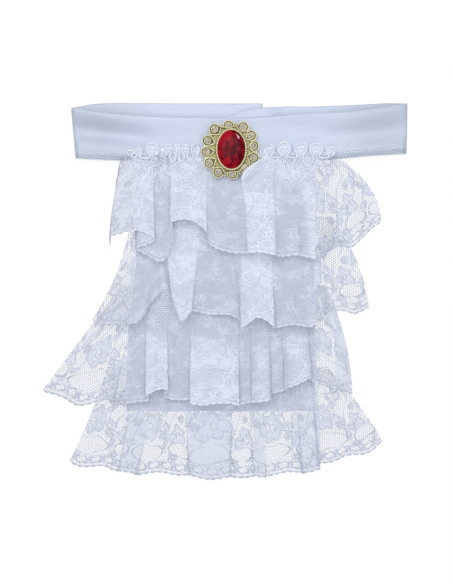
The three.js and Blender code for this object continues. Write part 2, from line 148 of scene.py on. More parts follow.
def apart(a, b):
    return math.hypot(*np.subtract(a, b))


def smoothed(values, width):
    k = np.hanning(width + 2)[1:-1]
    padded = np.pad(values, width // 2, mode="edge")
    return np.convolve(padded, k / k.sum(), mode="valid")[:len(values)]


def smooth(lo, hi, x):
    t = np.clip((np.asarray(x, float) - lo) / (hi - lo), 0, 1)
    return t * t * (3 - 2 * t)


def lookup(table, at, column=1):
    rows = sorted(table)
    return float(np.interp(at, [r[0] for r in rows], [r[column] for r in rows]))


def spline(points, count, measure):
    """Centripetal spline through points, sampled evenly by the length that measure gives, and that length."""
    p = np.array(points, float)
    p = np.vstack([2 * p[0] - p[1], p, 2 * p[-1] - p[-2]])
    step = np.maximum(1e-6, [measure(a, b) for a, b in zip(p[:-1], p[1:])])
    knots = np.concatenate([[0], np.cumsum(np.sqrt(step))])
    dense = []
    for i in range(1, len(p) - 2):
        t = knots[i - 1:i + 3]
        for u in np.linspace(t[1], t[2], 40, endpoint=False):
            row = p[i - 1:i + 3]
            for lo, hi in ((0, 1), (0, 2), (1, 2)):
                ends = [(t[lo + k], t[hi + k]) for k in range(len(row) - 1)]
                row = [((b - u) * row[k] + (u - a) * row[k + 1]) / (b - a) for k, (a, b) in enumerate(ends)]
            dense.append(row[0])
    dense.append(p[-2])
    dense = np.array(dense)
    run = np.concatenate([[0], np.cumsum([measure(a, b) for a, b in zip(dense[:-1], dense[1:])])])
    at = np.linspace(0, run[-1], count)
    return np.array([np.interp(at, run, dense[:, k]) for k in range(dense.shape[1])]).T, at


def grid_normals(g):
    across = np.gradient(g, axis=0)
    down = np.gradient(g, axis=1)
    n = np.cross(down, across)
    return n / np.maximum(1e-9, np.linalg.norm(n, axis=2, keepdims=True))


def flare(v, c):
    """Share of the sideways spread at v, 0 on the seam and 1 on the hem."""
    return v + c * v * (1 - v)


def rise(v):
    """Height of a full fold at v."""
    return RISE * (1 - (1 - np.clip(v, 0, 1)) ** RISE_POWER)


# Where the cloth lies, as in the solids

def ground(tier, x, y):
    """Height of the panel, and of the band under the first tier."""
    panel = PANEL_WALL * smooth(-72, -64, x) * (1 - smooth(59, 67, x)) * smooth(-88, -77, y)
    if tier > 0:
        return panel
    return mix(panel, BAND_TOP, smooth(60, 82, y))


def stack(tier, x, y):
    """Height that a tier's lace adds for the one above it."""
    _, seam, flare_l, flare_r, start, folds = TIERS[tier]
    v = np.clip((seam + 2 - y) / LEAST_DEPTH, 0, 1)
    left = mix(start[0], start[1], flare(v, flare_l)) - 3
    right = mix(folds[-1][1], folds[-1][5], flare(v, flare_r)) + 3
    t = np.clip((x - left + 14) / 14, 0, 1)
    u = np.clip((x - right) / 14, 0, 1)
    in_x = t * t * (3 - 2 * t) * (1 - u * u * (3 - 2 * u))
    in_y = 1 - smooth(seam + 2.5, seam + 12, y)
    return (SEAM_GAP + LACE_WALL + GATHER * 0.6 + rise(v)) * in_x * in_y


def support(tier, x, y):
    below = stack(tier + 1, x, y) if tier + 1 < len(TIERS) else 0
    return ground(tier, x, y) + below


def pressed(x, y):
    """0 under the brooch, 1 where the cloth is free of it."""
    return smooth(PRESS, FREE, np.hypot(x - BROOCH[0], y - BROOCH[1]))


def hem_points(start, folds):
    """Points along a hem: x on the seam, x and y on the hem, and lift from 0 to 1."""
    points = [start]
    for i, f in enumerate(folds):
        seam_l, seam_r, xl, yl, yc, xr, yr, lift = f[:8]
        points.append((seam_l, xl, yl, lift * 0.8))
        points.append(((seam_l + seam_r) / 2, (xl + xr) / 2, yc, lift))
        if i == len(folds) - 1:
            points.append((seam_r, xr, yr, lift * 0.5))
            break
        points.append((seam_r, xr, yr, lift * 0.85))
        tuck, vx, vy = f[9:12]
        nxt = folds[i + 1]
        gap = nxt[0] - seam_r
        points.append((seam_r + gap * 0.3, xr - tuck, mix(yr, vy, 0.5), lift * 0.4))
        points.append((seam_r + gap * 0.5, vx, vy, 0))
        points.append((seam_r + gap * 0.75, nxt[2] + nxt[8], mix(nxt[3], vy, 0.5), nxt[7] * 0.35))
    return points


# Meshes

def link(obj):
    bpy.context.scene.collection.objects.link(obj)
    return obj


def mesh_object(name, verts_mm, faces, material, fields=None, smooth_shade=True):
    """A mesh from millimetres in the part's drawing frame. fields are named vectors at its points."""
    mesh = bpy.data.meshes.new(name)
    v = (np.asarray(verts_mm, float) + SHIFT) / 1000
    mesh.from_pydata(v.tolist(), [], faces if isinstance(faces, list) else faces.tolist())
    for key, values in (fields or {}).items():
        a = mesh.attributes.new(key, "FLOAT_VECTOR", "POINT")
        a.data.foreach_set("vector", np.asarray(values, np.float32).ravel())
    mesh.materials.append(material)
    if smooth_shade:
        mesh.polygons.foreach_set("use_smooth", [True] * len(mesh.polygons))
    mesh.update()
    return link(bpy.data.objects.new(name, mesh))


def grid_faces(m, n, offset=0, flip=False):
    i, j = np.meshgrid(np.arange(m - 1), np.arange(n - 1), indexing="ij")
    at = i * n + j + offset
    quads = stacked(at, at + 1, at + n + 1, at + n).reshape(-1, 4)
    return quads[:, ::-1] if flip else quads


def sheet_object(name, g, material, fields):
    m, n = g.shape[:2]
    return mesh_object(name, g.reshape(-1, 3), grid_faces(m, n), material,
                       {k: v.reshape(-1, 3) for k, v in fields.items()})


def shell_object(name, g, half, material, fields=None):
    """Closed cloth of half-thickness half (a number or a grid) on both sides of a grid."""
    m, n = g.shape[:2]
    nor = grid_normals(g)
    h = np.broadcast_to(np.asarray(half, float), (m, n))[..., None]
    upper, lower = g + nor * h, g - nor * h
    verts = np.concatenate([upper.reshape(-1, 3), lower.reshape(-1, 3)])
    low = m * n
    faces = [grid_faces(m, n), grid_faces(m, n, low, flip=True)]
    first = np.arange(m - 1) * n
    last = first + n - 1
    faces.append(stacked(first, first + n, low + first + n, low + first))
    faces.append(stacked(last, low + last, low + last + n, last + n))
    first = np.arange(n - 1)
    last = first + (m - 1) * n
    faces.append(stacked(first, low + first, low + first + 1, first + 1))
    faces.append(stacked(last, last + 1, low + last + 1, low + last))
    both = {k: np.concatenate([v.reshape(-1, 3)] * 2) for k, v in (fields or {}).items()}
    return mesh_object(name, verts, np.concatenate(faces), material, both)


def ring_faces(rings, sides, closed=False):
    """Faces between rings of points, with the last ring joined to the first if closed."""
    i = np.arange(rings if closed else rings - 1)[:, None] * sides
    k = (i + sides) % (rings * sides)
    j = np.arange(sides)
    n = (j + 1) % sides
    return stacked(i + j, i + n, k + n, k + j).reshape(-1, 4).tolist()


def tube(path, radius, sides=6, closed=False):
    """Round cord along points in mm: its vertices and faces. radius is a number or one for each point."""
    p = np.asarray(path, float)
    r = np.broadcast_to(np.asarray(radius, float), (len(p),))
    if closed:
        tangent = np.roll(p, -1, axis=0) - np.roll(p, 1, axis=0)
    else:
        tangent = np.gradient(p, axis=0)
    tangent /= np.maximum(1e-9, np.linalg.norm(tangent, axis=1, keepdims=True))
    side = np.cross(tangent, (0.0, 0.0, 1.0))
    flat = np.linalg.norm(side, axis=1, keepdims=True)
    side = np.where(flat > 1e-4, side / np.maximum(flat, 1e-9), (1.0, 0.0, 0.0))
    up = np.cross(side, tangent)
    a = np.arange(sides) * TAU / sides
    ring = side[:, None, :] * np.cos(a)[None, :, None] + up[:, None, :] * np.sin(a)[None, :, None]
    verts = (p[:, None, :] + ring * r[:, None, None]).reshape(-1, 3)
    faces = ring_faces(len(p), sides, closed)
    if not closed:
        first = list(range(sides))
        faces.append(first[::-1])
        faces.append([len(p) * sides - sides + j for j in first])
    return verts, faces


def ball(at, radius, rings=5, around=8):
    """Small bead: its vertices and faces."""
    x, y, z = at
    verts = [(x, y, z + radius)]
    for i in range(1, rings):
        a = math.pi * i / rings
        for j in range(around):
            b = TAU * j / around
            reach = radius * math.sin(a)
            verts.append((x + reach * math.cos(b), y + reach * math.sin(b), z + radius * math.cos(a)))
    verts.append((x, y, z - radius))
    faces = [(0, 1 + j, 1 + (j + 1) % around) for j in range(around)]
    for i in range(rings - 2):
        for j in range(around):
            a, b = 1 + i * around + j, 1 + i * around + (j + 1) % around
            faces.append((a, a + around, b + around, b))
    last, end = 1 + (rings - 2) * around, len(verts) - 1
    faces += [(end, last + (j + 1) % around, last + j) for j in range(around)]
    return verts, faces


def gathered(parts):
    """Several (vertices, faces) as one."""
    verts, faces = [], []
    for v, f in parts:
        base = len(verts)
        verts += [tuple(map(float, q)) for q in v]
        faces += [tuple(int(i) + base for i in face) for face in f]
    return verts, faces


# Materials

class Wire:
    """A value between shader nodes: each sum, difference or product of wires becomes one node."""

    def __init__(self, graph, socket):
        self.graph = graph
        self.socket = socket

    def __add__(self, other):
        return self.graph.math("ADD", self, other)

    def __sub__(self, other):
        return self.graph.math("SUBTRACT", self, other)

    def __rsub__(self, other):
        return self.graph.math("SUBTRACT", other, self)

    def __mul__(self, other):
        return self.graph.math("MULTIPLY", self, other)

    def __truediv__(self, other):
        return self.graph.math("DIVIDE", self, other)

    def __abs__(self):
        return self.graph.math("ABSOLUTE", self)


class Graph:
    """A material and short names for its shader nodes."""

    def __init__(self, name):
        self.mat = bpy.data.materials.new(name)
        self.mat.use_nodes = True
        self.tree = self.mat.node_tree
        self.tree.nodes.clear()
        self.out = self.tree.nodes.new("ShaderNodeOutputMaterial")

    def node(self, kind, **settings):
        n = self.tree.nodes.new(kind)
        for key, value in settings.items():
            setattr(n, key, value)
        return n

    def put(self, socket, value):
        if isinstance(value, Wire):
            self.tree.links.new(value.socket, socket)
        elif value is not None:
            socket.default_value = value

    def filled(self, n, values, output=0):
        """One output of a node whose first inputs take these values."""
        for socket, value in zip(n.inputs, values):
            self.put(socket, value)
        return Wire(self, n.outputs[output])

    def math(self, op, a, b=None, clamp=False):
        return self.filled(self.node("ShaderNodeMath", operation=op, use_clamp=clamp), (a, b))

    def top(self, a, b):
        return self.math("MAXIMUM", a, b)

    def sine(self, a):
        return self.math("SINE", a)

    def vec(self, op, a, b=None):
        output = "Value" if op in ("LENGTH", "DOT_PRODUCT") else 0
        return self.filled(self.node("ShaderNodeVectorMath", operation=op), (a, b), output)

    def step(self, lo, hi, x, a=0.0, b=1.0):
        """Smooth step from a, where x is lo, to b, where it is hi."""
        n = self.node("ShaderNodeMapRange", interpolation_type="SMOOTHSTEP")
        return self.filled(n, (x, lo, hi, a, b))

    def split(self, v):
        n = self.node("ShaderNodeSeparateXYZ")
        self.put(n.inputs[0], v)
        return [Wire(self, n.outputs[k]) for k in range(3)]

    def join(self, x, y, z=0.0):
        return self.filled(self.node("ShaderNodeCombineXYZ"), (x, y, z))

    def attribute(self, name):
        """The three parts of a vector that the mesh carries."""
        n = self.node("ShaderNodeAttribute", attribute_name=name, attribute_type="GEOMETRY")
        return self.split(Wire(self, n.outputs["Vector"]))

    def place(self):
        """Object coordinates in millimetres."""
        n = self.node("ShaderNodeTexCoord")
        return self.vec("MULTIPLY", Wire(self, n.outputs["Object"]), (1000.0, 1000.0, 1000.0))

    def noise(self, vector, scale, detail=2.0, rough=0.5, distortion=0.0):
        n = self.node("ShaderNodeTexNoise")
        keys = ("Vector", "Scale", "Detail", "Roughness", "Distortion")
        for key, value in zip(keys, (vector, scale, detail, rough, distortion)):
            self.put(n.inputs[key], value)
        return Wire(self, n.outputs["Fac"])

    def colour(self, fac, a, b):
        n = self.node("ShaderNodeMix", data_type="RGBA")
        self.put(n.inputs["Factor"], fac)
        for key, tone in (("A", a), ("B", b)):
            self.put(n.inputs[key], tone if isinstance(tone, Wire) else (*tone, 1.0))
        return Wire(self, n.outputs["Result"])

    def bump(self, height, distance, strength):
        n = self.node("ShaderNodeBump")
        for key, value in (("Height", height), ("Distance", distance), ("Strength", strength)):
            self.put(n.inputs[key], value)
        return Wire(self, n.outputs[0])

    def principled(self, **sockets):
        n = self.node("ShaderNodeBsdfPrincipled")
        for key, value in sockets.items():
            self.put(n.inputs[key.replace("_", " ")], value)
        self.tree.links.new(n.outputs[0], self.out.inputs[0])
        return self.mat


def toned(tint, by):
    """A colour times a number, or times one for each channel, at most white."""
    by = by if isinstance(by, tuple) else (by, by, by)
    return tuple(min(1.0, c * k) for c, k in zip(tint, by))


def hex_distance(g, x, y):
    """0 at a cell's middle, 0.5 on its edge, for a net of hexagons NET_CELL wide."""
    p = g.join(x / NET_CELL + FAR_CELLS, y / NET_CELL + FAR_CELLS * ROOT_3)
    row = (1.0, ROOT_3, 1.0)
    half_row = (0.5, ROOT_3 / 2, 0.5)
    a = g.vec("SUBTRACT", g.vec("MODULO", p, row), half_row)
    b = g.vec("SUBTRACT", g.vec("MODULO", g.vec("SUBTRACT", p, half_row), row), half_row)
    a = g.vec("MULTIPLY", a, (1.0, 1.0, 0.0))
    b = g.vec("MULTIPLY", b, (1.0, 1.0, 0.0))
    nearer = g.node("ShaderNodeMix", data_type="VECTOR")
    g.put(nearer.inputs["Factor"], g.math("LESS_THAN", g.vec("LENGTH", a), g.vec("LENGTH", b)))
    g.put(nearer.inputs[4], b)
    g.put(nearer.inputs[5], a)
    near = g.vec("ABSOLUTE", Wire(g, nearer.outputs[1]))
    return g.top(g.split(near)[0], g.vec("DOT_PRODUCT", near, (0.5, ROOT_3 / 2, 0.0)))


def lace_material(name, tint, thin=(0.95, 0.95, 0.945), web=(0.80, 0.80, 0.80), cord_tint=0.82, back=0.64):
    """Net with solid flowers and cords.

    Attribute strip is s, d and a third part for the layering with its painted light; motif is (solid, cord,
    edge) distances in mm;
    net is the place on the plain net in mm, laid straight or turned with the cloth. The third part of strip
    is 0 where one layer lies over the floor, about half over the panel, where the colour is a painted shade,
    1 on a raised double fold over the panel, where the colour carries a painted highlight, and -1 on one over
    the floor. On a single layer thin, web and cord_tint are the tones of cloth, net and cords; back is how
    dense a double layer of net is.
    """
    g = Graph(name)
    s, d, layers_and_light = g.attribute("strip")
    solid, cord, edge = g.attribute("motif")
    net_x, net_y, _ = g.attribute("net")

    def noise(along, up, at, *settings):
        return g.noise(g.join(s * along, d * up, at), 1.0, *settings)

    # Feathery strands, long fibres and small gaps
    thread = g.step(0.30, 0.42, hex_distance(g, net_x, net_y))
    cluster = noise(0.075, 0.14, 0.0, 2.0)
    lines = noise(0.15, 1.6, 0.0, 3.0, 0.65, 0.6)
    feather = g.step(0.79, 0.88, cluster * 0.85 + lines * 0.72)
    strand = noise(0.055, 0.34, 5.0, 2.0, 0.55, 0.8)
    fibres = g.top(g.step(0.022, 0.008, abs(strand - 0.47)), g.step(0.018, 0.006, abs(strand - 0.55)))
    fibres = fibres * g.step(0.46, 0.56, cluster)
    double = g.step(0.12, 0.5, layers_and_light)
    crown = g.step(0.50, 0.95, layers_and_light)
    fill = g.step(0.16, -0.16, solid)
    cords = g.step(0.42, 0.18, cord)
    where = noise(0.12, 0.15, 7.0, 1.0)
    gap = g.step(0.56, 0.64, noise(0.50, 1.15, 3.0, 2.0, 0.6, 0.3)) * g.step(0.44, 0.54, where)
    eyes = g.step(0.10, 0.30, solid) * g.step(1.1, 0.6, cord)
    gap = g.top(gap, eyes * 0.8 * g.step(0.50, 0.60, where)) * (crown * 0.24 + 0.04)

    # How dense: one layer, double over the panel, double over the floor, then the cut edge and thin shadows
    cloth = g.step(0.32, 0.68, g.noise(g.join(s, d), 0.11, 2.0), a=0.79, b=0.92)
    loose = g.top(g.top(thread * 0.58 + 0.11, fill * cloth), cords * 0.96)
    open_net = g.step(36.0, 50.0, d) * g.step(0.42, 0.55, where)
    laid = thread * 0.12 + 0.83 - gap - open_net * ((1.0 - thread) * 0.15)
    laid = g.top(laid, cords * 0.96)
    alpha = loose + double * (laid - loose)
    twice = g.step(-0.1, -0.6, layers_and_light)
    alpha = alpha + twice * (g.top(loose, thread * 0.20 + back) - alpha)
    alpha = alpha * g.step(-0.05, 0.1, edge)
    shadow = Wire(g, g.node("ShaderNodeLightPath").outputs["Is Shadow Ray"])
    alpha = alpha * (1.0 - shadow * 0.45)

    # How white: the pattern's own whites, a painted highlight on raised folds and gathers, and a painted
    # shade in the recesses
    # Cords and solid parts whiter near the hem, and whiter on raised folds as a painted highlight
    clear = g.top(crown * 0.8, g.step(6.0, 3.5, d, b=0.9))
    bright = (cords * 0.30 + fill * 0.18) * (clear + 0.2) + thread * 0.10 + feather * 0.30
    # Painted shade in the cells of the open net
    bright = bright + open_net * (thread * 0.70 - 0.30) + fibres * 0.42
    bright = g.math("ADD", bright, crown * 0.44, clamp=True)
    solid_tone = toned(tint, thin)
    single = g.colour(g.top(fill, twice), toned(tint, web), solid_tone)
    single = g.colour(cords, single, toned(solid_tone, cord_tint))
    # Painted shade in the recesses at 0.82 of the tint, painted highlight on raised folds at up to 1.25 of it
    col = g.colour(double, single, g.colour(bright, toned(tint, 0.82), toned(tint, (1.255, 1.235, 1.17))))

    raised = fill * 0.12 + thread * 0.10 + (feather + fibres) * 0.25
    normal = g.bump(cords * 0.25 + raised, 0.0005, 0.7)
    normal = g.vec("NORMALIZE", g.vec("ADD", normal, (0.0, 0.0, 0.5)))
    return g.principled(Base_Color=col, Roughness=0.75, Specular_IOR_Level=0.3, Sheen_Weight=0.15,
                        Sheen_Roughness=0.5, Normal=normal, Alpha=alpha)


def satin_material(name, tint):
    """Satin. Attribute hem is (mm above the lower edge, x in mm, 1 on the front), for the overlocked ends and
    a painted shade towards the band's ends.
    """
    g = Graph(name)
    p = g.place()
    x, y, _ = g.split(p)
    weave = g.sine((x + y * 0.55) * 9.0) * 0.5
    rib = g.sine(y * 16.0)
    cloud = g.noise(g.vec("MULTIPLY", p, (0.02, 0.06, 0.05)), 1.0, 3.0)
    col = g.colour(g.step(0.35, 0.65, cloud), toned(tint, 0.965), tint)
    up, along, front = g.attribute("hem")
    # Painted shade: the band darker towards its ends, where the light falls off
    col = g.colour(g.step(48.0, 92.0, abs(along - 9.0)), col, toned(tint, 0.87))
    ends = g.top(g.step(-54.0, -57.0, along), g.step(66.0, 69.0, along))
    zone = g.step(5.3, 4.7, up) * front * ends
    stitch = g.step(0.42, 0.22, abs(up - 4.1)) * g.step(0.1, 0.4, g.sine(along * 3.3))
    col = g.colour(zone, col, toned(tint, 0.68))
    col = g.colour(zone * stitch, col, toned(tint, 1.36))
    rough = g.step(0.3, 0.7, cloud, a=0.33, b=0.42)
    return g.principled(Base_Color=col, Roughness=rough, Specular_IOR_Level=0.6, Sheen_Weight=0.15,
                        Sheen_Roughness=0.35, Normal=g.bump(weave * 0.5 + rib * 0.3, 0.00006, 0.35))


def lining_material(name, tint):
    """Plain woven cloth."""
    g = Graph(name)
    p = g.place()
    x, y, _ = g.split(p)
    col = g.colour(g.step(0.35, 0.65, g.noise(p, 0.05, 3.0)), toned(tint, 0.97), tint)
    weave = g.sine(x * 13.0) * g.sine(y * 13.0)
    return g.principled(Base_Color=col, Roughness=0.8, Specular_IOR_Level=0.25, Sheen_Weight=0.15,
                        Normal=g.bump(weave, 0.00008, 0.5))


def thread_material(name, tint):
    """Twisted thread."""
    g = Graph(name)
    x, y, _ = g.split(g.place())
    twist = g.sine((x + y * 1.7) * 14.0)
    # Painted shade: darker in the twist's grooves, where the bump is low
    col = g.colour(g.step(-1.0, 1.0, twist), toned(tint, 0.9), tint)
    return g.principled(Base_Color=col, Roughness=0.6, Specular_IOR_Level=0.4, Sheen_Weight=0.3,
                        Normal=g.bump(twist, 0.000016, 0.5))


def gold_material(name, low, high, under, over, shine=0.5):
    """Gold whose colour is painted light and shade by height: the colour under below the height low, in mm,
    and the colour over above high.
    """
    g = Graph(name)
    p = g.place()
    uneven_light = g.noise(p, 0.55, 4.0, 0.6)
    # Painted highlight above high and painted shade below low, varied at random
    lit = g.step(low, high, g.split(p)[2]) * g.step(0.25, 0.62, uneven_light, a=0.80, b=1.0)
    grain = g.noise(p, 2.6, 3.0, 0.7)
    return g.principled(Base_Color=g.colour(lit, under, over), Metallic=shine, Roughness=0.27,
                        Normal=g.bump(grain, 0.0003, 0.5))


def gem_material(name, dark, light, grain):
    """Foil-backed glass: attribute facet is each facet's painted light and shade, and its share of painted
    glint.
    """
    g = Graph(name)
    shade, glint, _ = g.attribute("facet")
    cloud = g.noise(g.place(), grain, 2.0)
    # Painted light and shade of each facet, varied at random
    depth = g.math("ADD", shade, g.step(0.3, 0.7, cloud, a=-0.10, b=0.10), clamp=True)
    # The pink colour is a painted glint
    col = g.colour(glint, g.colour(depth, dark, light), (0.92, 0.62, 0.66))
    return g.principled(Base_Color=col, Roughness=0.16, Specular_IOR_Level=0.06)


LACE = lace_material("lace_net", (0.662, 0.700, 0.812))
SATIN = satin_material("satin", (0.587, 0.637, 0.755))
# The lining is painted lighter than the lace, painted light that offsets the shadow the lace casts on it
LINING = lining_material("lining", (0.73, 0.775, 0.90))
# The frill's net is a lighter copy of the lace, painted light that offsets the shade on its steep loops
FRILL = lace_material("frill_net", (0.84, 0.88, 0.99), (1.0, 1.0, 1.0), (0.94, 0.94, 0.94), 1.1, 0.60)
THREAD = thread_material("thread", (0.88, 0.92, 1.0))
CORD = thread_material("edging_cord", (0.90, 0.93, 1.0))
# Painted light by height: the plate with a painted shade on the tops of its cups, above 9.9 mm, for the dark
# gaps round the small stones; the wires and the bezel with a painted highlight on their tops and a painted
# shade lower down
GOLD = gold_material("gold_with_painted_shade", 9.3, 9.9, (0.29, 0.26, 0.105), (0.045, 0.036, 0.012))
WIRE = gold_material("wire_gold", 9.2, 10.1, (0.50, 0.44, 0.17), (1.0, 0.94, 0.57), 0.15)
BEZEL = gold_material("bezel_gold", 12.1, 13.3, (0.20, 0.17, 0.06), (1.0, 0.94, 0.56), 0.15)
RUBY = gem_material("ruby_glass", (0.080, 0.001, 0.006), (0.46, 0.009, 0.022), 0.4)
CLEAR = gem_material("clear_glass", (0.24, 0.22, 0.17), (0.74, 0.69, 0.62), 1.1)


# Lace drawing: distances in mm, s along the strip and d up from the hem

# Length of the repeat
PERIOD = 56.0


def wrapped(s, centre, period=PERIOD):
    """How far s lies from the nearest repeat of centre."""
    return (s - centre + period / 2) % period - period / 2


def turned(s, d, cs, cd, degrees):
    a = math.radians(degrees)
    x, y = wrapped(s, cs), d - cd
    return x * math.cos(a) + y * math.sin(a), -x * math.sin(a) + y * math.cos(a)


def ellipse(x, y, rx, ry):
    return (np.hypot(x / rx, y / ry) - 1) * min(rx, ry)


def flower(s, d, cs, cd, radius, petals, turn, heart):
    """Broad overlapping petals round an open heart, each with slits at its root."""
    solid = np.full(s.shape, 9.0)
    slits = np.full(s.shape, 9.0)
    for k in range(petals):
        x, y = turned(s, d, cs, cd, turn + 360 / petals * (k + 0.12 * math.sin(3 * k + turn)))
        reach = radius * (0.88 + 0.12 * math.cos(2.3 * k + turn))
        solid = np.minimum(solid, ellipse(x - reach * 0.60, y, reach * 0.42, reach * 0.40))
        for side in (-1, 1):
            slits = np.minimum(slits, ellipse(x - reach * 0.40, y - side * reach * 0.15, reach * 0.16, 0.42))
        slits = np.minimum(slits, ellipse(x - reach * 0.66, y, reach * 0.10, 0.45))
    r = np.hypot(wrapped(s, cs), d - cd)
    solid = np.minimum(solid, np.abs(r - heart * 1.15) - heart * 0.3)
    rim = np.where(r > radius * 0.5, np.abs(solid + 0.25), 9.0)
    rim = np.minimum(rim, np.abs(r - heart * 0.95))
    return np.maximum(solid, -slits), np.where(r < radius + 2, rim, 9.0)


def leaf(s, d, cs, cd, length, wide, turn):
    """Bent leaf with a cord round it and open rungs across."""
    x, y = turned(s, d, cs, cd, turn)
    y = y - 0.035 * x * x / max(1.0, length / 12)
    u = np.clip((x + length / 2) / length, 0, 1)
    half = wide * np.sin(math.pi * u) ** 0.85
    over = np.maximum(np.abs(x) - length / 2, 0)
    solid = np.where(over > 0, np.hypot(over, y), np.abs(y) - half)
    cord = np.abs(solid + 0.2)
    rungs = np.abs((x + 1.5 * np.abs(y)) % 2.4 - 1.2) + np.where(np.abs(y) < half * 0.75, 0, 9)
    solid = np.maximum(solid, 0.28 - rungs)
    return solid, cord


def eyelets(s, d, cs, cd, count, spread, size, turn):
    """Solid patch pierced by a cluster of round holes."""
    patch = np.hypot(wrapped(s, cs) / 1.25, d - cd) - spread - size * 1.2
    holes = np.hypot(wrapped(s, cs), d - cd) - size
    for k in range(count):
        a = math.radians(turn + 360 / count * k)
        along, up = wrapped(s, cs + spread * 1.2 * math.cos(a)), d - cd - spread * math.sin(a)
        holes = np.minimum(holes, np.hypot(along, up) - size)
    return np.maximum(patch, -holes), np.abs(holes - 0.15)


def stem(s, d, points):
    p, _ = spline(points, 26, apart)
    best = np.full(s.shape, 9.0)
    for (ax, ay), (bx, by) in zip(p[:-1], p[1:]):
        x, y = wrapped(s, (ax + bx) / 2), d - (ay + by) / 2
        ex, ey = (bx - ax) / 2, (by - ay) / 2
        t = np.clip((x * ex + y * ey) / (ex * ex + ey * ey), -1, 1)
        best = np.minimum(best, np.hypot(x - ex * t, y - ey * t))
    return best


# centre s, centre d, radius, petals, turn, heart
FLOWERS = [(13, 31.5, 11.5, 6, 12, 2.6), (42, 25.0, 8.2, 5, 40, 2.0), (33, 49, 6.2, 5, 5, 1.6),
           (6, 58, 4.4, 5, 20, 1.2), (49, 62, 3.6, 5, 0, 1.0)]
# centre s, centre d, length, half width, turn
LEAVES = [(25, 41, 14, 2.5, 35), (1, 45, 14, 2.4, 115), (52, 37, 13, 2.4, 65), (30, 31, 10, 2.0, -38),
          (46, 49, 11, 2.0, 135), (53, 20, 9, 1.8, 15), (31, 20, 10, 1.8, 62), (18, 61, 8, 1.5, 150)]
# centre s, centre d, number, spread, hole size, turn
EYELETS = [(27.5, 25.5, 6, 2.5, 0.75, 0), (0, 33, 6, 2.2, 0.7, 20), (44, 36.5, 5, 2.0, 0.65, 10),
           (35, 11.5, 6, 2.3, 0.75, 0), (48.5, 13.0, 6, 2.3, 0.75, 30), (22, 46, 5, 1.7, 0.6, 0)]
STEMS = [[(-6, 15), (0, 24), (5, 38), (14, 46), (24, 50), (33, 49), (42, 52), (50, 62)],
         [(13, 31), (24, 29), (33, 26), (42, 25), (48, 29), (55, 38), (62, 48)],
         [(30, 14), (31, 24), (36, 36), (44, 45), (47, 58)],
         [(36, 14), (37, 20), (42, 25)],
         [(44, 46), (46, 52), (53, 56), (62, 58)],
         [(25, 29), (27, 35), (25, 42), (22, 52)]]
# Open net windows with a cord round them: centre s, centre d, half sizes, turn
WINDOWS = [(13, 15.2, 15.0, 5.6, 3), (42, 15.5, 9.0, 4.2, -6)]
# Width of the small windows in the row over the edge, and of the beads on the edge itself
SMALL = 9.333
BEAD = 4.3


def lace_fields(s, d, deep=1.7):
    """The motif vector at each point: distance into solid cloth, to a cord and up from the edge."""
    true_s, true_d = s, d
    high = smooth(6, 14, d)
    sway_s = 1.5 * np.sin(true_d * 0.21 + true_s * 0.031) + 0.7 * np.sin(true_d * 0.47 - true_s * 0.083)
    sway_d = 1.2 * np.sin(true_s * 0.173 + 1.3) + 0.6 * np.sin(true_s * 0.411 + true_d * 0.12)
    s, d = true_s + high * sway_s, true_d + high * sway_d
    solid = np.full(s.shape, 9.0)
    cord = np.full(s.shape, 9.0)
    for shape, table in ((leaf, LEAVES), (eyelets, EYELETS), (flower, FLOWERS)):
        for row in table:
            a, c = shape(s, d, *row)
            solid, cord = np.minimum(solid, a), np.minimum(cord, c)
    for points in STEMS:
        c = stem(s, d, points)
        cord = np.minimum(cord, c * 1.1)
        solid = np.minimum(solid, c - 0.45)
    for w in WINDOWS:
        x, y = turned(s, d, *w[:2], w[4])
        q = ellipse(x, y, w[2], w[3])
        solid = np.maximum(solid, -q)
        cord = np.where(q < -0.5, 9.0, cord)
        cord = np.minimum(cord, np.abs(q) * 1.15)
    s, d = true_s, true_d
    big = deep * (0.5 - 0.5 * np.cos(TAU * (s - 13) / (PERIOD / 2))) ** 0.9
    base = d - 0.4 - big
    bead = np.abs(np.sin(math.pi * s / BEAD))
    edge = base - 0.95 * (1 - bead ** 0.7)
    row = base - 5.4 - 0.5 * np.sin(TAU * s / SMALL * 2)
    small = ellipse(wrapped(s, SMALL / 2, SMALL), row, 3.7, 1.75)
    band = np.maximum(np.abs(row) - 2.5, -small)
    solid = np.minimum(solid, band)
    cord = np.where(small < -0.4, 9.0, cord)
    cord = np.minimum(cord, np.abs(small) * 1.1)
    solid = np.where(base < 2.9, 9.0, solid)
    cord = np.where(base < 2.9, 9.0, cord)
    hem = np.abs(base - 0.85) - 0.5 - 0.25 * bead
    solid = np.minimum(solid, hem)
    cord = np.minimum(cord, np.minimum(np.abs(base - 0.85) * 0.6 + 0.1 * (1 - bead), np.abs(base - 3.0)))
    return stacked(np.clip(solid, -5, 5), np.clip(cord, 0, 5), np.clip(edge, -5, 5))


def lace_data(s, d, layers_and_light, motif, net_x, net_y):
    return {"strip": stacked(s, d, layers_and_light), "motif": motif, "net": stacked(net_x, net_y, 0.0)}


# Lace tiers

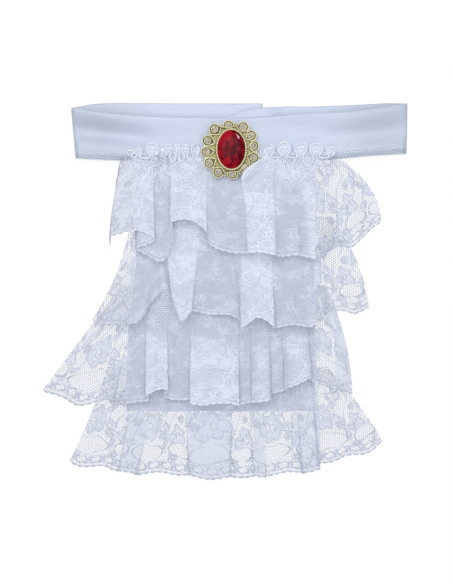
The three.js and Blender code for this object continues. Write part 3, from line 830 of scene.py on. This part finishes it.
# Soft creases as laid, per tier: x and y of both ends, half width, height (a trough is below zero)
CREASES = [
    [(-56, 84, -60, 45, 2.2, 1.1), (-50, 80, -66, 38, 1.6, -0.9), (-44, 84, -49, 60, 1.3, 1.0),
     (-27, 82, -29, 52, 1.5, 0.9), (-21, 80, -19, 48, 1.3, -0.7), (-6, 66, -4, 34, 2.4, 1.0),
     (4, 62, 10, 32, 1.6, -0.8), (36, 80, 33, 56, 1.4, -1.3), (31, 84, 30, 60, 1.3, 1.0),
     (45, 82, 47, 52, 1.8, 1.2), (55, 82, 60, 62, 1.4, -1.2), (50, 46, 70, 30, 2.4, 1.2),
     (38, 52, 56, 40, 1.6, -0.9), (62, 78, 84, 54, 2.0, 1.0), (70, 76, 94, 60, 1.7, -0.9),
     (18, 60, 24, 28, 2.6, -0.8), (-70, 52, -62, 36, 1.5, 0.8)],
    [(-58, 34, -74, -14, 2.0, 0.9), (-54, 30, -64, -8, 1.5, -0.8), (-30, 26, -34, 4, 1.5, 1.0),
     (-24, 30, -25, -8, 1.3, -0.8), (-12, 24, -10, -6, 2.4, 1.0), (0, 26, 2, -12, 2.0, -0.9),
     (6, 24, 14, -14, 1.6, 1.1), (22, 20, 24, -10, 1.6, -0.6), (38, 20, 37, -10, 1.8, 1.0),
     (50, 18, 56, -12, 1.8, -0.9), (60, 22, 74, -2, 1.8, 1.0), (68, 26, 86, -4, 1.6, -0.8),
     (-46, 24, -44, -4, 1.8, 1.0), (44, 6, 58, -6, 2.0, 1.0)],
    [(-70, -14, -104, -58, 2.2, 0.8), (-68, -20, -88, -62, 1.8, -0.7), (-58, -16, -62, -60, 1.7, 1.0),
     (-46, -18, -45, -56, 1.4, -0.9), (-34, -16, -33, -58, 1.8, 0.9), (-26, -14, -26, -60, 1.6, -0.9),
     (-10, -34, -12, -66, 1.8, 0.7), (0, -30, 2, -66, 1.6, -0.7), (12, -20, 13, -60, 1.6, 0.9),
     (24, -22, 26, -56, 1.6, -0.8), (34, -24, 46, -50, 2.2, 1.2), (40, -14, 54, -34, 2.0, -1.0),
     (54, -14, 64, -48, 2.0, 0.9), (62, -16, 74, -50, 1.8, -0.8)],
    [(-74, -64, -92, -104, 2.0, 0.8), (-66, -66, -78, -108, 1.6, -0.7), (-56, -74, -62, -112, 1.8, 0.9),
     (-46, -74, -44, -112, 1.8, -0.8), (-32, -74, -30, -114, 1.8, 0.9), (-20, -74, -16, -114, 1.6, -0.8),
     (-8, -74, -10, -114, 2.0, 0.8), (8, -74, 8, -114, 1.8, -0.9), (20, -72, 22, -114, 1.5, 0.7),
     (34, -70, 40, -110, 2.0, -0.8), (48, -66, 54, -110, 1.8, 0.8), (60, -66, 74, -100, 2.0, -0.8),
     (66, -68, 90, -96, 2.0, 0.8)]
]
HEM_STEPS, DEPTH_STEPS = 640, 116
# Gathers at each seam and the depth of the lace's drawing on each strip
GATHER_WAVES = [36, 34, 36, 36]
STRIP_DEPTH = [54.0, 66.0, 72.0, 68.0]
# Where each strip starts in the lace's repeat, and the density and painted highlight of its raised folds and
# of its gathers near the seam
STRIP_START = [22.0, 36.0, -14.0, 6.0]
RAISED_DENSITY_AND_LIGHT = [1.0, 0.93, 0.92, 0.90]
SEAM_DENSITY_AND_LIGHT = [0.90, 0.72, 0.62, 0.66]


def crease_height(x, y, creases):
    total = np.zeros(x.shape)
    for ax, ay, bx, by, wide, high in creases:
        ex, ey = bx - ax, by - ay
        t = np.clip(((x - ax) * ex + (y - ay) * ey) / (ex * ex + ey * ey), 0, 1)
        dist = np.hypot(x - ax - ex * t, y - ay - ey * t)
        fade = np.sin(math.pi * np.clip(0.12 + 0.8 * t, 0, 1)) ** 0.6
        total += high * fade * np.exp(-(dist / wide) ** 2)
    return total


def along_hem(a, b):
    return math.sqrt((a[1] - b[1]) ** 2 + (a[2] - b[2]) ** 2 + ((a[3] - b[3]) * RISE) ** 2)


def tier_sheet(tier):
    """One strip: q runs along its hem and v from the seam down to the hem."""
    name, seam, flare_l, flare_r, start, folds = TIERS[tier]
    columns, run = spline(hem_points(start, folds), HEM_STEPS, along_hem)
    q = np.linspace(0, 1, HEM_STEPS)[:, None]
    v = np.linspace(0, 1, DEPTH_STEPS)[None, :] ** 1.1
    seam_x, hem_x, hem_y, lift = (columns[:, k][:, None] for k in range(4))
    x = mix(seam_x, hem_x, flare(v, mix(flare_l, flare_r, q)))
    y = mix(seam, hem_y, v)
    near_brooch = pressed(x, y) if tier == 0 else 1.0
    puffed = np.clip(lift, 0, 1)
    puffed = puffed + (1 - puffed) * 0.78 * (1 - smooth(0.40, 1.05, v))
    z = support(tier, x, y) + SEAM_GAP + LACE_WALL / 2 + puffed * rise(v) * near_brooch
    g = stacked(x, y, z)
    nor = grid_normals(g)
    uneven = 0.42 * np.sin(TAU * 3.3 * q + tier) + 0.3 * np.sin(TAU * 7.7 * q + 2 * tier)
    phase = TAU * (GATHER_WAVES[tier] * q + uneven)
    short = 0.75 + 0.25 * np.sin(TAU * 5.1 * q + 1.3 * tier)
    fade = np.clip(1 - v / (0.62 * short), 0, 1) ** 1.2
    ripple = (0.55 + 1.0 * np.sin(phase + 0.7 * np.sin(5 * v + 3 * q))) * fade
    ripple += 0.28 * np.sin(phase * 0.5 + 2.5 * v + tier) * smooth(0.25, 0.7, v)
    flutter = 0.45 * np.sin(TAU * 13 * q + 1.7 * tier) * smooth(0.7, 1.0, v)
    lift_by = (ripple + flutter + crease_height(x, y, CREASES[tier])) * near_brooch
    lift_by = np.maximum(lift_by, -0.62)
    g = g + nor * lift_by[..., None]
    g[..., 2] = np.maximum(g[..., 2], 0.25)
    s = np.broadcast_to(run[:, None] + STRIP_START[tier], x.shape)
    d = np.broadcast_to((1 - v) * STRIP_DEPTH[tier], x.shape)
    # Painted highlight on raised folds and painted light near the seam, which also make the cloth there
    # denser
    raised = smooth(0.60, 0.85, lift) * smooth(0.0, 0.15, v)
    near_seam = SEAM_DENSITY_AND_LIGHT[tier] * (1 - smooth(0.15, 0.65, v))
    tone = RAISED_DENSITY_AND_LIGHT[tier] * (1.0 if tier < 2 else mix(0.60, 1.0, smooth(0.36, 0.62, v)))
    # Over the panel or over the floor, where a raised fold is two layers of net
    low_y, left_x, right_x = zip(*sorted(PANEL_EDGE))
    left_edge, right_edge = np.interp(y, low_y, left_x), np.interp(y, low_y, right_x)
    spill = 0.8 + 1.6 * np.sin(0.23 * y + 1.7 * tier) + 1.0 * np.sin(0.61 * y + tier)
    right_edge = right_edge + np.maximum(0, spill)
    over = smooth(left_edge - 1.5, left_edge + 1.0, x) * (1 - smooth(right_edge - 1.0, right_edge + 2.2, x))
    over = over * smooth(-78, -75, y)
    layers_and_light = np.maximum(np.maximum(raised * tone, near_seam), 0.55) * over
    doubled = raised * ((x < 0) | (tier == 3))
    if tier == 2:
        doubled = np.maximum(doubled, smooth(0.960, 0.972, q + 0.004 * np.sin(9 * v)))
    if tier == 3:
        inner = 41.5 - 0.16 * (y + 76)
        doubled = np.maximum(doubled, smooth(inner - 0.6, inner + 0.6, x) * (1 - smooth(60.2, 61.0, x)))
    layers_and_light = layers_and_light - 0.95 * doubled * (1 - over)
    turn = np.radians(np.where(x < left_edge - 1, 28.0, np.where(x > 59, -28.0, 15.0 - 8.0 * tier)))
    fields = lace_data(s, d, layers_and_light, lace_fields(s, d), x * np.cos(turn) + y * np.sin(turn),
                       y * np.cos(turn) - x * np.sin(turn))
    obj = sheet_object("lace_tier_%d_cloth" % (tier + 1), g, LACE, fields)
    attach(obj, "root")
    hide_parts(name)
    down = np.linalg.norm(np.diff(g, axis=1), axis=2).sum(axis=1).mean()
    return obj, run[-1], float(down)


tiers = [tier_sheet(k) for k in range(4)]


# Heading frill

# How far the edging cord hangs below the seam after each loop
DROPS = {0: 1.0, 1: 1.6, 2: -3.4, 3: 3.8, 4: 3.6, 5: 2.4, 6: 2.6, 12: 0.9, 13: 1.2, 14: 6.6, 15: 1.4}


def frill_sheet():
    """The loops as one strip, w from 1 at the free edge to 0 at the seam, with its run and area."""
    points = []
    for i, (x, wide, tall, lift) in enumerate(FRILL_LOOPS):
        before = FRILL_LOOPS[i - 1] if i else None
        valley = (before[0] + before[1] / 2 + x - wide / 2) / 2 if before else x - wide / 2 - 0.6
        points.append((valley, valley, 5.4 if i == 3 else 2.2, lift * 0.7))
        for part, high in ((-0.46, 0.5), (-0.30, 0.9), (0, 1.0), (0.30, 0.9), (0.46, 0.5)):
            seam_x, top_x = x + np.sign(part) * wide * 0.22, x + wide * part
            points.append((seam_x, top_x, tall * high, lift * (0.75 + 0.25 * high)))
    x, wide = FRILL_LOOPS[-1][:2]
    points.append((x + wide / 2 + 0.8, x + wide / 2 + 0.8, 0.6, 1.0))
    cols, run = spline(points, 900, lambda a, b: apart(a[1:3], b[1:3]))
    seam_x, top_x, out, lift = (cols[:, k][:, None] for k in range(4))
    w = np.linspace(1, 0, 22)[None, :]
    x = mix(seam_x, top_x, w)
    y = FRILL_Y + mix(-0.4, out, w)
    z = FRILL_BASE + np.maximum(0, lift) * w ** 0.8 * pressed(x, y)
    s = np.broadcast_to(run[:, None], x.shape)
    d = np.broadcast_to((1 - w) * 9.0, x.shape)
    solid = np.minimum(d - 1.3, np.abs(d - 5.2) - 0.5)
    cord = np.abs(d - 2.6 - 0.5 * np.sin(TAU * s / 4.0))
    fields = lace_data(s, d, -1.0, stacked(solid, cord, d + 1), s, d)
    obj = sheet_object("heading_frill_cloth", stacked(x, y, z), FRILL, fields)
    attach(obj, "root")
    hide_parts("heading_frill")
    area = sum(f.area for f in obj.data.polygons)
    return obj, run[-1], area


def frill_cord():
    """White cord on the frill's free edge: over each loop, in at its neck, and in a drop between loops."""
    base = FRILL_BASE + 0.3
    points = []
    for i, (x, wide, tall, lift) in enumerate(FRILL_LOOPS):
        lean = 0.5 * math.sin(2.3 * i + 0.6)
        for part, high in ((-0.24, 0.02), (-0.46, 0.5), (-0.32, 0.9), (0, 1.02), (0.32, 0.9), (0.46, 0.5),
                           (0.24, 0.02)):
            px, py = x + wide * part + lean * high, FRILL_Y + tall * high
            up = max(lift * (0.5 + 0.5 * high), 1.9 if high < 0.1 else 0)
            points.append((px, py, base + up * float(pressed(px, py))))
        if i + 1 == len(FRILL_LOOPS):
            break
        nxt = FRILL_LOOPS[i + 1]
        a, b = x + wide * 0.24, nxt[0] - nxt[1] * 0.24
        drop = DROPS.get(i, 0.4)
        free = float(pressed((a + b) / 2, FRILL_Y))
        out = 0.032 * (b - a) if drop > 2 else 0.0
        points.append((a - out, FRILL_Y - drop * 0.55, base + 2.3 * free))
        points.append(((a + b) / 2, FRILL_Y - drop, base + 2.1 * free))
        points.append((b + out, FRILL_Y - drop * 0.55, base + 2.3 * free))
    path, _ = spline(points, 1500, apart)
    step = np.arange(1500)
    verts, faces = tube(path, 0.56 + 0.10 * np.sin(step * 0.9) * np.sin(step * 0.037), 7)
    obj = mesh_object("heading_frill_cord", verts, faces, CORD)
    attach(obj, "root")
    return obj


# Loose ends of the edging cord that lie on the first tier, as x and y along each
LOOSE_CORDS = [[(-39.5, 86), (-38.6, 80), (-36.2, 75.5), (-32.5, 72.3), (-29, 70)],
               [(-15.8, 86), (-17.2, 80.5), (-20.5, 75), (-25.5, 70.5), (-29, 69)],
               [(-62, 85), (-58.5, 82.5), (-55, 83.5), (-51.5, 80.5), (-47.5, 82)],
               [(-47, 84), (-44, 80.5), (-40.5, 82.5)],
               [(24, 86), (25.8, 80), (24.5, 74), (27, 68)],
               [(44, 85.5), (42.5, 79), (39.5, 74), (38, 69)],
               [(58, 84), (61, 80.5), (64.5, 78.5), (68, 74)]]


def loose_cords(cloth):
    """Thin cords that follow the cloth's surface."""
    co = np.array([v.co for v in cloth.data.vertices]) * 1000 - SHIFT
    parts = []
    for points in LOOSE_CORDS:
        path, _ = spline(points, 60, apart)
        z = []
        for x, y in path:
            near = np.hypot(co[:, 0] - x, co[:, 1] - y) < 0.9
            z.append(co[near, 2].max() if near.any() else np.nan)
        z = np.array(z)
        z = np.interp(np.arange(60), np.flatnonzero(~np.isnan(z)), z[~np.isnan(z)])
        z = smoothed(z, 9) + 0.25
        parts.append(tube(np.column_stack([path, z]), 0.33, 6))
    verts, faces = gathered(parts)
    obj = mesh_object("lace_tier_1_cords", verts, faces, CORD)
    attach(obj, "root")
    return obj


frill, frill_run, frill_area = frill_sheet()
cord = frill_cord()
loose = loose_cords(tiers[0][0])


# Neckband

def band_stations():
    """Stations from the back's left end round the front to the lap: x low and high, z, y low and high."""
    rows = []

    def add(low, top, z, low_y, top_y):
        rows.append((low, top, z, low_y, top_y))

    def bend(side, angle):
        reach = FOLD_R * math.cos(angle)
        low, top = BAND_LEFT if side < 0 else BAND_RIGHT
        share = (1 + math.sin(angle)) / 2
        end = BAND_ENDS[0] if side < 0 else BAND_ENDS[1]
        add(low + side * reach, top + side * reach, (BACK_Z + FRONT_Z) / 2 + FOLD_R * math.sin(angle),
            mix(lookup(BACK_LOW, end), lookup(FRONT_LOW, end), share),
            mix(lookup(BACK_TOP, end), lookup(FRONT_TOP, end), share))

    for s in np.linspace(0, 1, 70):
        top, low = mix(BACK_END_LEFT, BAND_LEFT[1], s), mix(BACK_END_LEFT, BAND_LEFT[0], s)
        add(low, top, BACK_Z, lookup(BACK_LOW, low), lookup(BACK_TOP, top))
    for a in np.radians(np.arange(-80, 81, 16)):
        bend(-1, a)
    for s in np.linspace(0, 1, 150):
        top, low = mix(BAND_LEFT[1], BAND_RIGHT[1], s), mix(BAND_LEFT[0], BAND_RIGHT[0], s)
        add(low, top, FRONT_Z, lookup(FRONT_LOW, low), lookup(FRONT_TOP, top))
    for a in np.radians(np.arange(80, -81, -16)):
        bend(1, a)
    for s in np.linspace(1, 0, 90):
        top, low = mix(BACK_END_RIGHT, BAND_RIGHT[1], s), mix(BACK_END_RIGHT, BAND_RIGHT[0], s)
        z = mix(LAP_Z, BACK_Z, float(smooth(27, 39, top)))
        top_y = lookup(LAP_TOP, top) if top < 40 else lookup(BACK_TOP, top)
        add(low, top, z, lookup(BACK_LOW, low), top_y)
    return np.array(rows)


# Creases of the band's front: x and y of both ends, half width, height
BAND_CREASES = [(-98, 115, -46, 108, 6.5, 2.2), (-97, 105, -40, 98, 6.0, -1.9), (-96, 94, -48, 89, 4.5, 0.9),
                (116, 117, 72, 110, 7.0, 1.9), (113, 106, 62, 100, 6.5, -1.6), (112, 93, 70, 90, 4.5, 0.6),
                (-40, 108, -8, 105, 4.5, 0.35), (20, 104, 60, 106, 5.0, -0.35), (30, 94, 60, 92, 4.0, 0.3)]


def front_swell(x, w):
    """How far the front stands out of its plane: w is 0 at the lower edge and 1 at the upper one."""
    wave = 0.5 * np.sin(TAU * (x / 71.0) + 0.6) * np.sin(math.pi * w)
    return wave + 0.75 * ((2 * w - 1.15) ** 2 - 0.4)


def band_cloth():
    """The folded strip: w runs from its lower edge to its upper one."""
    r = band_stations()
    for c in (3, 4):
        r[:, c] = smoothed(r[:, c], 9)
    w = np.concatenate([[0, 0.01, 0.03], np.linspace(0.06, 0.94, 26), [0.965, 0.985, 0.995, 1.0]])[None, :]
    x = mix(r[:, 0][:, None], r[:, 1][:, None], w)
    y = mix(r[:, 3][:, None], r[:, 4][:, None], w)
    z = np.broadcast_to(r[:, 2][:, None], x.shape).copy()
    front = smooth(FRONT_Z - 1.2, FRONT_Z, z)
    z += front * crease_height(x, y, BAND_CREASES)
    z += front * front_swell(x, w)
    # Rounded edges, and a fine groove along the row of stitches
    edge = np.minimum(w, 1 - w) * BAND_WIDTH
    half = 0.75 * np.sqrt(np.clip(1 - (1 - np.clip(edge / 1.1, 0, 1)) ** 2, 0.02, 1))
    half = half - 0.12 * np.exp(-((w - 0.17) * BAND_WIDTH / 0.5) ** 2)
    hem = stacked(w * BAND_WIDTH, x, front)
    obj = shell_object("neckband_cloth", stacked(x, y, z), half, SATIN, {"hem": hem})
    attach(obj, "root")
    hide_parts("neckband")
    return obj


band = band_cloth()


def band_border():
    """Overlocked lower edge of the front: zigzag thread between two lines of stitches."""
    parts = []

    def thread(xs, up, radius):
        low = np.array([lookup(FRONT_LOW, x) for x in xs])
        z = BORDER_Z + crease_height(xs, low + up, BAND_CREASES) + front_swell(xs, up / 30)
        parts.append(tube(stacked(xs, low + up, z), radius, 4))

    for x0, x1 in ((-94.5, -56.0), (67.0, 114.5)):
        xs = np.arange(x0, x1, 1.15)
        thread(xs, np.where(np.arange(len(xs)) % 2, 0.7, 3.9), 0.20)
        for up, radius, length in ((0.2, 0.32, 1.9), (4.7, 0.26, 1.55)):
            for start in np.arange(x0, x1 - 1.4, 1.9):
                thread(np.linspace(start, start + length, 4), up, radius)
    verts, faces = gathered(parts)
    obj = mesh_object("neckband_border", verts, faces, THREAD)
    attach(obj, "root")
    return obj


border = band_border()


# Base panel

def panel_cloth():
    """Flat panel with a thicker hem, raised on to the band at its top."""
    ys = np.concatenate([np.linspace(90.5, 60, 40), np.linspace(59, PANEL_LOW, 70)])
    s = np.linspace(0, 1, 60)[:, None]
    xl = np.array([lookup(PANEL_EDGE, y, 1) for y in ys])[None, :]
    xr = np.array([lookup(PANEL_EDGE, y, 2) for y in ys])[None, :]
    x = mix(xl, xr, s)
    y = np.broadcast_to(ys[None, :], x.shape)
    z = PANEL_WALL / 2 + 2.45 * smooth(62, 82, y)
    side = np.minimum(np.minimum(x - xl, xr - x), y - PANEL_LOW)
    half = 0.42 + 0.18 * (side < 6) * smooth(0, 0.8, side)
    obj = shell_object("base_panel_cloth", stacked(x, y, z), half, LINING)
    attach(obj, "root")
    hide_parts("base_panel")
    return obj


panel = panel_cloth()


# Brooch

def placed(points):
    """From the brooch's middle to the drawing frame, heights unchanged."""
    p = np.asarray(points, float).copy()
    p[:, 0] += BROOCH[0]
    p[:, 1] += BROOCH[1]
    return p


def arc(cx, cy, radius, z, start, end, steps):
    a = np.linspace(math.radians(start), math.radians(end), steps)
    return stacked(cx + radius * np.cos(a), cy + radius * np.sin(a), z)


def wirework():
    """Wires of the rim: a collar round each small stone, its scallop outside and bent wires to the bezel."""
    parts = []
    stones = sorted(RHINESTONES, key=lambda c: math.atan2(c[1], c[0]))
    top = 10.2
    collar, scallop, claws = 2.05, 3.28, 1.85
    bezel_w, bezel_l = 10.4, 13.9
    for i, (x, y) in enumerate(stones):
        out = math.degrees(math.atan2(y, x))
        ring = arc(x, y, collar, top + 0.12, 0, 360, 25)[:-1]
        parts.append(tube(ring, 0.24, 6, closed=True))
        parts.append(tube(arc(x, y, scallop, top - 0.05, out - 104, out + 104, 22), 0.26, 6))
        for claw in arc(x, y, claws, top + 0.35, out + 45, out + 315, 4):
            parts.append(ball(claw, 0.24, 4, 6))
        nx, ny = stones[(i + 1) % 12]
        mx, my = (x + nx) / 2, (y + ny) / 2
        outer = 1 + 1.75 / math.hypot(mx, my)
        apex = (mx * 1.03, my * 1.03, top + 0.1)
        for ax, ay in ((x, y), (nx, ny)):
            far = math.hypot(ax, ay)
            reach = 1 / math.hypot(ax / far / bezel_w, ay / far / bezel_l) + 0.15
            foot = (ax / far * reach, ay / far * reach, top + 0.55)
            mid = (mix(apex[0], foot[0], 0.5), mix(apex[1], foot[1], 0.5), top + 0.45)
            leg, _ = spline([apex, mid, foot], 7, apart)
            parts.append(tube(leg, 0.30, 6))
        parts.append(ball(apex, 0.38, 5, 8))
        parts.append(ball((mx * outer, my * outer, top - 0.2), 0.62, 5, 8))
    verts, faces = gathered(parts)
    obj = mesh_object("brooch_wirework", placed(verts), faces, WIRE)
    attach(obj, "root")
    return obj


def bezel():
    """Oval wall round the stone with a milled top edge."""
    steps = 312
    a = np.linspace(0, TAU, steps, endpoint=False)
    teeth = np.abs(np.sin(a * 26)) ** 0.7
    # Half width, half length, height and depth of the teeth
    profile = [(10.35, 13.85, 9.15, 0), (10.30, 13.80, 10.4, 0), (10.05, 13.55, 11.4, 0.05),
               (10.10, 13.60, 12.2, 0.5), (10.05, 13.55, 12.9, 0.8), (9.75, 13.25, 13.35, 1.1),
               (9.15, 12.65, 13.45, 1.2), (8.85, 12.35, 13.15, 0.8), (8.85, 12.35, 12.6, 0)]
    rows = []
    for rx, ry, z, cut in profile:
        k = cut * (1 - teeth)
        rows.append(stacked((rx - k * 0.35) * np.cos(a), (ry - k * 0.35) * np.sin(a), z - k * 0.8))
    faces = ring_faces(len(profile), steps)
    obj = mesh_object("brooch_bezel_milled", placed(np.concatenate(rows)), faces, BEZEL)
    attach(obj, "root")
    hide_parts("brooch_bezel")
    return obj


def facets_object(name, tris, shades, material, nodes):
    """Flat facets. A shade over 1 is a full one with the rest as glint."""
    verts, faces, field = [], [], []
    for tri, shade in zip(tris, shades):
        base = len(verts)
        verts += [tuple(q) for q in tri]
        faces.append(tuple(range(base, base + len(tri))))
        field += [(min(shade, 1), max(shade - 1, 0), 0)] * len(tri)
    obj = mesh_object(name, placed(verts), faces, material, {"facet": field}, smooth_shade=False)
    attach(obj, "root")
    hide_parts(*nodes)
    return obj


def stone():
    """Oval stone: steep girdle, ring of kites, wide table cut in a star, with painted light and shade on each
    facet for the light inside the glass.
    """
    z0 = BROOCH[2] + PLATE_T + 0.4
    girdle, top = z0 + GIRDLE, z0 + GIRDLE + CROWN
    # How far out from the middle: foot, crown's middle, table, star
    foot_at, mid_at, table_at, star_at = 0.96, 0.87, 0.70, 0.40
    n = 8

    def at(k, share, z):
        a = TAU * k / n
        return (STONE_W / 2 * share * math.cos(a), STONE_L / 2 * share * math.sin(a), z)

    tris, shades = [], []

    def add(shade, *pts):
        tris.append(pts)
        shades.append(shade)

    mid = girdle + CROWN * 0.5
    steps = 32
    rim = [at(k * n / steps, 1.0, girdle) for k in range(steps)]
    low = [at(k * n / steps, foot_at, z0) for k in range(steps)]
    half = [at(k * n / 16, mid_at, mid) for k in range(16)]
    # Painted light and shade of the crown's facets: bright on the left, dark on the right
    ring = [0.05, 0.1, 0.04, 0.2, 0.8, 0.95, 0.9, 0.6, 0.85, 0.9, 0.95, 0.6, 0.8, 0.3, 0.05, 0.25]
    for k in range(steps):
        m = (k + 1) % steps
        add(0.15, low[k], low[m], rim[m], rim[k])
        add(ring[k // 2] * (0.85 if k % 2 else 1.0), rim[k], rim[m], half[((k + 1) // 2) % 16])
        if k % 2 == 0:
            add(ring[k // 2] * 0.55, rim[k], half[((k + 1) // 2) % 16], half[k // 2])
    for k in range(0, steps, 2):
        add(ring[k // 2] * 0.7, rim[(k + 1) % steps], half[(k // 2 + 1) % 16], half[k // 2])
    # Painted light and shade of the kites, the star and the table's middle
    kite = [0.15, 0.40, 0.95, 0.85, 0.80, 0.90, 0.55, 0.08]
    star = [0.06, 0.16, 0.80, 0.50, 0.25, 0.70, 0.25, 0.03]
    core = [0.04, 0.10, 0.40, 0.14, 0.06, 0.26, 0.10, 0.03]
    for k in range(n):
        a, b, c = half[(2 * k) % 16], half[(2 * k + 1) % 16], half[(2 * k + 2) % 16]
        top_a, top_b = (at(k + side, table_at, top - 0.22) for side in (0, 1))
        # The kite at the upper right carries a painted glint
        add(1.6 if k == 1 else kite[k], a, b, top_a)
        add(kite[(k + 3) % n] * 0.8, b, c, top_b)
        add(kite[k] * 0.75 + 0.1, b, top_b, top_a)
        inner_a, inner_b = (at(k + side, star_at, top - 0.05) for side in (0.5, -0.5))
        add(star[k], top_a, top_b, inner_a)
        add(star[(k + 3) % n] * 0.7, top_a, inner_a, inner_b)
        add(core[k], inner_b, inner_a, at(0, 0.0, top))
    return facets_object("brooch_stone_cut", tris, shades, RUBY, ["brooch_stone"])


def small_stones():
    """Twelve stones of eight sides, each facet with its own painted light and shade, and one with a painted
    glint.
    """
    tris, shades = [], []
    for i, (x, y) in enumerate(RHINESTONES):
        foot, rim, table = (arc(x, y, radius, z, 11 * i, 11 * i + 360, 9)
                            for radius, z in ((1.7, 9.35), (1.7, 9.95), (0.85, 10.75)))
        for k in range(8):
            # One painted glint on each stone; the other facets with painted light and shade that varies round
            # the stone
            shade = 1.5 if k == (3 * i + 2) % 8 else 0.5 + 0.42 * math.sin(2.6 * k + 1.9 * i)
            tris.append((foot[k], foot[k + 1], rim[k + 1], rim[k]))
            tris.append((rim[k], rim[k + 1], table[k + 1], table[k]))
            tris.append((table[k], table[k + 1], (x, y, 10.77)))
            shades += [0.3, shade, 0.45 + 0.3 * math.sin(3.1 * k + i)]
    names = ["rhinestone_%02d" % (k + 1) for k in range(12)]
    return facets_object("rhinestones_cut", tris, shades, CLEAR, names)


def fold_over():
    """Corner of the first tier that laps over the brooch's lower right rim."""
    edge = [(26.5, 88.0), (23.3, 85.6), (18.5, 82.4), (14.8, 79.8), (11.8, 76.8), (10.4, 73.0), (11.0, 68.5)]
    line, run = spline(edge, 70, apart)
    q = np.linspace(0, 1, 70)[:, None]
    w = np.linspace(0, 1, 26)[None, :]
    reach = 5.0 + 9.0 * np.sin(math.pi * np.clip(q, 0.04, 0.96)) ** 0.8
    x = line[:, 0][:, None] + reach * w * (0.86 + 0.1 * q)
    y = line[:, 1][:, None] - reach * w * (0.50 + 0.25 * q)
    away = np.hypot(x - BROOCH[0], y - BROOCH[1])
    over = 1 - smooth(18.0, 24.0, away)
    z = 8.4 + 3.6 * over + 0.6 * np.sin(math.pi * w) * smooth(0, 0.2, q) + 0.25 * np.sin(9 * q + 5 * w)
    s = np.broadcast_to(run[:, None] + 3, x.shape)
    d = w * reach + 0.9
    hem = np.abs(d - 1.7)
    motif = stacked(hem - 0.7, np.minimum(hem * 0.7, np.abs(d - 3.4 - 0.5 * np.sin(s * 0.7))), d)
    # Layering 0.9: the lap is dense and carries the painted highlight of a raised fold
    obj = sheet_object("lace_tier_1_lap", stacked(x, y, z), LACE, lace_data(s, d, 0.9, motif, s, d))
    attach(obj, "root")
    return obj


lap = fold_over()
wirework()
bezel()
stone()
small_stones()
setting = bpy.data.objects["brooch_setting"]
for k in range(len(setting.material_slots)):
    setting.material_slots[k].material = GOLD


# Stage

DAYLIGHT = (0.95, 0.97, 1.02)
# Name, place and size in m, power in W
LIGHTS = [("key", (-0.14, 0.46, 1.18), 0.9, 9.6), ("fill", (0.4, -0.5, 1.2), 1.1, 3.6)]
CAMERA_AT = (0.00095, -0.0002, 1.5618)


def build_stage():
    """White floor, a world that is brighter overhead, two soft lights and the camera straight above."""
    white = Graph("floor_white").principled(
        Base_Color=(0.13, 0.13, 0.13, 1.0), Roughness=0.9, Specular_IOR_Level=0.1,
        Emission_Color=(1.0, 1.0, 1.0, 1.0), Emission_Strength=0.885)
    mesh = bpy.data.meshes.new("floor")
    mesh.from_pydata([(-3, -3, 0), (3, -3, 0), (3, 3, 0), (-3, 3, 0)], [], [(0, 1, 2, 3)])
    mesh.materials.append(white)
    floor = link(bpy.data.objects.new("floor", mesh))
    world = bpy.data.worlds.new("studio")
    world.use_nodes = True
    tree = world.node_tree
    coords = tree.nodes.new("ShaderNodeTexCoord")
    parts = tree.nodes.new("ShaderNodeSeparateXYZ")
    ramp = tree.nodes.new("ShaderNodeMapRange")
    ramp.interpolation_type = "SMOOTHSTEP"
    # From and to: how much of the way up, then how bright
    for k, value in ((1, 0.05), (2, 0.95), (3, 0.11), (4, 0.52)):
        ramp.inputs[k].default_value = value
    tree.links.new(coords.outputs["Generated"], parts.inputs[0])
    tree.links.new(parts.outputs[2], ramp.inputs[0])
    tree.links.new(ramp.outputs[0], tree.nodes["Background"].inputs[1])
    tree.nodes["Background"].inputs[0].default_value = (*DAYLIGHT, 1.0)
    bpy.context.scene.world = world
    for name, at, size, power in LIGHTS:
        light = bpy.data.lights.new(name, "AREA")
        light.size = size
        light.energy = power
        light.color = DAYLIGHT
        obj = link(bpy.data.objects.new(name, light))
        obj.location = at
        d = np.array(at) / np.linalg.norm(at)
        obj.rotation_euler = (math.acos(d[2]), 0.0, math.atan2(d[0], -d[1]))
    cam = bpy.data.cameras.new("camera")
    cam.lens = 150
    cam.sensor_width = 36
    obj = link(bpy.data.objects.new("camera", cam))
    obj.location = CAMERA_AT
    bpy.context.scene.camera = obj
    bpy.context.scene.view_settings.view_transform = "Standard"


build_stage()

for k, (obj, length, depth) in enumerate(tiers):
    length / 1000
    depth / 1000
    [lap, loose] if k == 0 else []
